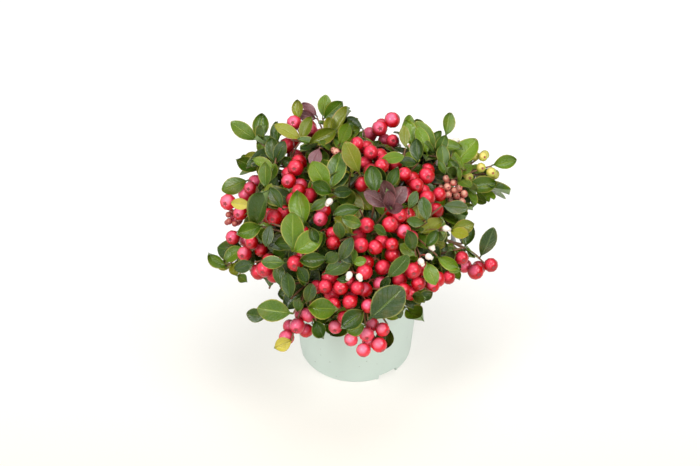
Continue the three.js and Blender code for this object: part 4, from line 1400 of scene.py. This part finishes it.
def leaf_finish(name, dark, light, margin, rib):
    """A glossy leathery blade with a pale margin and midrib, and a paler underside."""
    material, tree, shader = new_material(name)
    uv = add_node(tree, "ShaderNodeUVMap", uv_map="blade").outputs[0]
    marks = effect_in(tree, leaf_markings, {"Blade": uv})
    clouds = mottled(tree, 90.0, 2200.0)
    cloudy = maths(tree, "MULTIPLY_ADD", clouds["Cloud"], 0.9, -0.3)
    share = clamped(tree, maths(tree, "MULTIPLY_ADD", own_shade(tree), 0.7, cloudy))
    colour = mixed(tree, share, dark, light)
    tinged = ramp(tree, clouds["Cloud"], 0.52, 0.75)
    for share, depth, tint in (
        (tinged, 0.3, LEAF_TINGE),
        (marks["Veins"], 0.16, rib),
        (marks["Midrib"], 0.55, rib),
        (marks["Margin"], 0.65, margin),
    ):
        colour = mixed(tree, product(tree, share, depth), colour, tint)
    back = add_node(tree, "ShaderNodeNewGeometry").outputs["Backfacing"]
    tree.links.new(mixed(tree, back, colour, LEAF_UNDERSIDE), shader.inputs["Base Color"])
    rough = maths(tree, "MULTIPLY_ADD", clouds["Grain"], 0.16, 0.18)
    tree.links.new(rough, shader.inputs["Roughness"])
    shader.inputs["Specular IOR Level"].default_value = 0.5
    hollow = maths(tree, "MULTIPLY_ADD", marks["Midrib"], -0.8, product(tree, marks["Veins"], -0.35))
    wavy = maths(tree, "MULTIPLY_ADD", clouds["Cloud"], 2.2, product(tree, clouds["Grain"], 0.35))
    relief(tree, shader, maths(tree, "ADD", hollow, wavy), 0.8, 0.0005)
    return material


# Each tint: its dark and light blade, its margin and its midrib. The deep tint is partly the dark green of
# old leaves and partly painted shade, given to the leaves inside the crown.
LEAF_TINTS = {
    "green": ((0.03, 0.08, 0.003, 1), (0.15, 0.255, 0.006, 1), (0.46, 0.38, 0.07, 1), (0.26, 0.34, 0.04, 1)),
    "deep": ((0.01, 0.034, 0.001, 1), (0.046, 0.1, 0.004, 1), (0.27, 0.27, 0.05, 1), (0.12, 0.19, 0.02, 1)),
    "young": ((0.1, 0.15, 0.006, 1), (0.26, 0.27, 0.012, 1), (0.46, 0.27, 0.09, 1), (0.37, 0.36, 0.07, 1)),
    "bronze": ((0.07, 0.032, 0.032, 1), (0.22, 0.075, 0.092, 1), (0.34, 0.12, 0.12, 1), (0.3, 0.13, 0.14, 1)),
    "yellow": ((0.38, 0.34, 0.04, 1), (0.58, 0.5, 0.07, 1), (0.5, 0.3, 0.08, 1), (0.55, 0.48, 0.14, 1)),
}
leaf_template = leaf_shape()
for tint, colours in LEAF_TINTS.items():
    own = [leaf for leaf in leaves if leaf["tint"] == tint]
    finish = leaf_finish("leaf_" + tint, *colours)
    piece = spray("leaves_" + tint, leaf_template, own, finish, droop=1.0, cupping=1.0)
    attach(piece, "root")
    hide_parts(*masses)
bpy.data.objects.remove(leaf_template)

# Fruit: the berries themselves, glossy, from bud to ripe and spent, each with the dry star of its calyx
# at the far end.
# Each tint: its deep and its light skin colour. The light colour is partly painted light, on the side that
# faces the lights, and partly the fruit's own paler patches.
BERRY_TINTS = {
    "red": ((0.41, 0.001, 0.002, 1), (0.88, 0.046, 0.095, 1)),
    "pink": ((0.52, 0.003, 0.006, 1), (0.92, 0.14, 0.26, 1)),
    "pale": ((0.68, 0.012, 0.026, 1), (0.95, 0.22, 0.34, 1)),
    "unripe": ((0.42, 0.44, 0.06, 1), (0.70, 0.55, 0.14, 1)),
    "bud": ((0.56, 0.13, 0.10, 1), (0.80, 0.42, 0.30, 1)),
    "spent": ((0.38, 0.06, 0.06, 1), (0.48, 0.14, 0.10, 1)),
}
BERRY_SIDES = 10
BERRY_RINGS = (-62, -34, -8, 18, 44, 66)
BERRY_TOP = ((190, 930), (120, 860), (0, 830))
BERRY_HEIGHT_SHARE = 0.95
STAR_OUT = (430, 170)
STAR_RISE = (60, 20)
STAR_SEAT = 0.86
STAR_SIZE = 0.9
STAR_COLOUR = (0.22, 0.02, 0.03, 1)
STAR_LIGHT_COLOUR = (0.34, 0.05, 0.05, 1)
STALK_SEED = 33
STALK_END = 0.9
STALK_RADII = (0.4, 0.5)
STALK_MARKS = 4
STALK_SIDES = 5


def berry_shape():
    """A round berry of radius 1 about the origin, a little flat at its far end, which is +Z."""
    turns = [math.radians(degrees) for degrees in BERRY_RINGS]
    round_part = [(1000 * math.cos(turn), 1000 * math.sin(turn)) for turn in turns]
    return turned("berry_shape", [(0, -1000), *round_part, *BERRY_TOP], BERRY_SIDES)


def star_shape():
    """The five-lobed calyx on a berry's far end."""
    points, faces = [(0, 0, 0)], []
    for i in range(10):
        turn = 2 * math.pi * i / 10
        out = STAR_OUT[i % 2]
        points.append((out * math.cos(turn), out * math.sin(turn), STAR_RISE[i % 2]))
        faces.append((0, 1 + i, 1 + (i + 1) % 10))
    return mesh_piece("star_shape", points, faces)


def facing(direction, turn):
    """Three axes with the third along a direction, turned about it."""
    first = unit(cross(direction, UP if abs(direction[2]) < 0.9 else np.array((1.0, 0, 0))))
    second = cross(direction, first)
    across = first * math.cos(turn) + second * math.sin(turn)
    return across, cross(direction, across), direction


# Lit side: how far a face turns up and to the front, towards the lights, where the fruit is given a painted
# highlight of pinker colour.
lit_side, given, made = new_group(
    "lit_side", "ShaderNodeTree", [("Way", "Vector", (-0.25, -0.5, 0.83))], [("Share", "Float")]
)
normal = add_node(lit_side, "ShaderNodeNewGeometry").outputs["Normal"]
turned_to = add_node(lit_side, "ShaderNodeVectorMath", {0: normal, 1: given["Way"]}, operation="DOT_PRODUCT")
share = ramp(lit_side, turned_to.outputs["Value"], 0.55, 1.02, interpolation_type="SMOOTHSTEP")
lit_side.links.new(share, made["Share"])


def berry_finish(name, deep, light):
    """Glossy skin, paler in clouds, and pinker where it faces the lights, which is painted light."""
    material, tree, shader = new_material(name)
    clouds = mottled(tree, 120.0, 3200.0)
    lit = effect_in(tree, lit_side, {})["Share"]
    cloudy = maths(tree, "MULTIPLY_ADD", clouds["Cloud"], 0.6, -0.42)
    own = maths(tree, "MULTIPLY_ADD", own_shade(tree), 0.35, cloudy)
    # Painted highlight: the side that faces the lights is mixed towards the light colour.
    share = clamped(tree, maths(tree, "MULTIPLY_ADD", lit, 0.9, own))
    tree.links.new(mixed(tree, share, deep, light), shader.inputs["Base Color"])
    rough = maths(tree, "MULTIPLY_ADD", clouds["Grain"], 0.12, 0.2)
    tree.links.new(rough, shader.inputs["Roughness"])
    shader.inputs["Specular IOR Level"].default_value = 0.45
    relief(tree, shader, clouds["Grain"], 0.15, 0.0002)
    return material


berry_template = berry_shape()
star_template = star_shape()
stars = []
stalk_paths = []
random = seeded_random(SEED + STALK_SEED)
for berry in berries:
    drop = unit(unit(berry["centre"] - berry["root"]) - UP * 0.35)
    across, along, face = facing(drop, between(random, 0, 6.28))
    r = berry["radius"]
    axes = {"across": across, "along": along, "face": face}
    berry.update(axes, place=berry["centre"], size=(r, r, r * BERRY_HEIGHT_SHARE), shade=next(random))
    stars.append({"place": berry["centre"] + face * r * STAR_SEAT, "size": (r * STAR_SIZE,) * 3, **axes})
    top = berry["centre"] - face * r * STALK_END
    stalk = GrowthLine(berry["root"], (berry["root"] + top) / 2 + UP * 0.8, top)
    stalk_paths.append(tapered(stalk, 0, 1, *STALK_RADII, STALK_MARKS))
for tint, (deep, light) in BERRY_TINTS.items():
    own = [berry for berry in berries if berry["tint"] == tint]
    piece = spray("berries_" + tint, berry_template, own, berry_finish("berry_" + tint, deep, light))
    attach(piece, "root")
    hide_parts(*masses)
star_finish = woody_finish("dry_calyx", STAR_COLOUR, STAR_LIGHT_COLOUR, 400.0, 0.6)
piece = spray("berry_stars", star_template, stars, star_finish)
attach(piece, "root")
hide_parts(*masses)
bpy.data.objects.remove(berry_template)
bpy.data.objects.remove(star_template)

# Blossom: waxy white urn-shaped bells, each with a narrow lipped mouth. They hang singly or in twos
# below a tip, on short reddish stalks like the berries' own.
BELL_LENGTH = 6.8
BELL_WIDTH = 4.9
BELL_SIDES = 10
BELL_SPACING = 5.6
BELL_STALK_RADII = (0.4, 0.7)
BELL_OUTLINE = (
    (0, 0), (0.26, 0.04), (0.44, 0.18), (0.5, 0.40), (0.44, 0.64),
    (0.29, 0.84), (0.25, 0.92), (0.32, 1.0), (0.2, 0.94), (0, 0.86),
)
BELL_COLOUR = (0.80, 0.76, 0.66, 1)
BELL_BLUSH_COLOUR = (0.78, 0.56, 0.50, 1)
STALK_COLOUR = (0.30, 0.035, 0.03, 1)
STALK_LIGHT_COLOUR = (0.42, 0.09, 0.05, 1)

bells = []
for line, count in flowering:
    outward, level, _ = skin_at(line.tip)
    span = line.length()
    for k in range(count):
        aside = k - (count - 1) / 2
        towards = unit(outward * 0.8 - UP * between(random, 0.5, 1.0) + level * 0.35 * aside)
        root = line.at(1 - 1.5 * k / span)
        foot = line.tip + outward * 3.5 + level * BELL_SPACING * aside + UP * between(random, -1.5, 2.5)
        across, along, face = facing(towards, between(random, 0, 6.28))
        bell = {"place": foot, "across": across, "along": along, "face": face, "shade": next(random)}
        bell["size"] = (BELL_WIDTH, BELL_WIDTH, BELL_LENGTH * between(random, 0.85, 1.05))
        bells.append(bell)
        stalk = GrowthLine(root, (root + foot) / 2 + UP * 1.5, foot)
        stalk_paths.append(tapered(stalk, 0, 1, *BELL_STALK_RADII, STALK_MARKS))

bell_finish, tree, shader = new_material("white_bell")
clouds = mottled(tree, 200.0, 2500.0)
blush = product(tree, clouds["Cloud"], 0.35)
tree.links.new(mixed(tree, blush, BELL_COLOUR, BELL_BLUSH_COLOUR), shader.inputs["Base Color"])
shader.inputs["Roughness"].default_value = 0.45
bell_template = turned("bell_shape", [(1000 * r, 1000 * z) for r, z in BELL_OUTLINE], BELL_SIDES)
piece = spray("blossom", bell_template, bells, bell_finish)
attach(piece, "root")
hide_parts(*masses)
bpy.data.objects.remove(bell_template)

stalk_skin = woody_finish("stalk_skin", STALK_COLOUR, STALK_LIGHT_COLOUR, 300.0, 0.5)
stalks = limbs("stalks", stalk_paths, stalk_skin, STALK_SIDES, 0.0, 1000.0)
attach(stalks, "root")
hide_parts(*masses)

# Floor and light: a pale sweep that glows by its own colour to be nearly white, with painted shade that
# darkens it towards the front, under plain soft studio lights.
# Each light is square: its place, its width and its power.
FLOOR_HALF = 4000
FLOOR_DROP = 0.2
FLOOR_COLOUR = (0.44, 0.44, 0.435, 1)
FLOOR_FRONT_SHADE_COLOUR = (0.382, 0.366, 0.331, 1)
SKY_COLOUR = (1, 0.97, 0.90, 1)
SKY_STRENGTH = 0.3
LIT_POINT = Vector((0, 0, 0.12))
LIGHTS = {
    "left_light": ((-0.9, -0.8, 1.3), 0.6, 16),
    "right_light": ((1.0, -0.6, 1.2), 0.6, 13),
    "top_light": ((0.1, 0.2, 1.5), 0.8, 10),
    "front_light": ((0, -1.6, 0.8), 0.8, 8),
}

corners = [(x * FLOOR_HALF, y * FLOOR_HALF, -FLOOR_DROP) for x, y in ((-1, -1), (1, -1), (1, 1), (-1, 1))]
floor = mesh_piece("floor", corners, [(0, 1, 2, 3)])
floor_finish, tree, shader = new_material("pale_floor")
clouds = mottled(tree, 6.0, 700.0)
depth = add_node(tree, "ShaderNodeSeparateXYZ", {0: own_place(tree)}).outputs[1]
# Painted shade: the floor is darker and warmer towards the front, where it takes the front shade colour.
far = maths(tree, "SUBTRACT", ramp(tree, depth, -0.14, 0.12), 0.06)
share = clamped(tree, maths(tree, "MULTIPLY_ADD", clouds["Grain"], 0.12, far))
colour = mixed(tree, share, FLOOR_FRONT_SHADE_COLOUR, FLOOR_COLOUR)
tree.links.new(colour, shader.inputs["Base Color"])
tree.links.new(colour, shader.inputs["Emission Color"])
shader.inputs["Emission Strength"].default_value = 1.3
shader.inputs["Roughness"].default_value = 0.9
floor.data.materials.append(floor_finish)

world = bpy.data.worlds.new("studio")
world.use_nodes = True
background = world.node_tree.nodes["Background"]
background.inputs["Color"].default_value = SKY_COLOUR
background.inputs["Strength"].default_value = SKY_STRENGTH
bpy.context.scene.world = world
for name, (place, size, power) in LIGHTS.items():
    data = bpy.data.lights.new(name, "AREA")
    data.size = size
    data.energy = power
    light = bpy.data.objects.new(name, data)
    bpy.context.collection.objects.link(light)
    light.location = place
    light.rotation_euler = (Vector(place) - LIT_POINT).to_track_quat("Z", "Y").to_euler()
bpy.context.scene.view_settings.view_transform = "Standard"
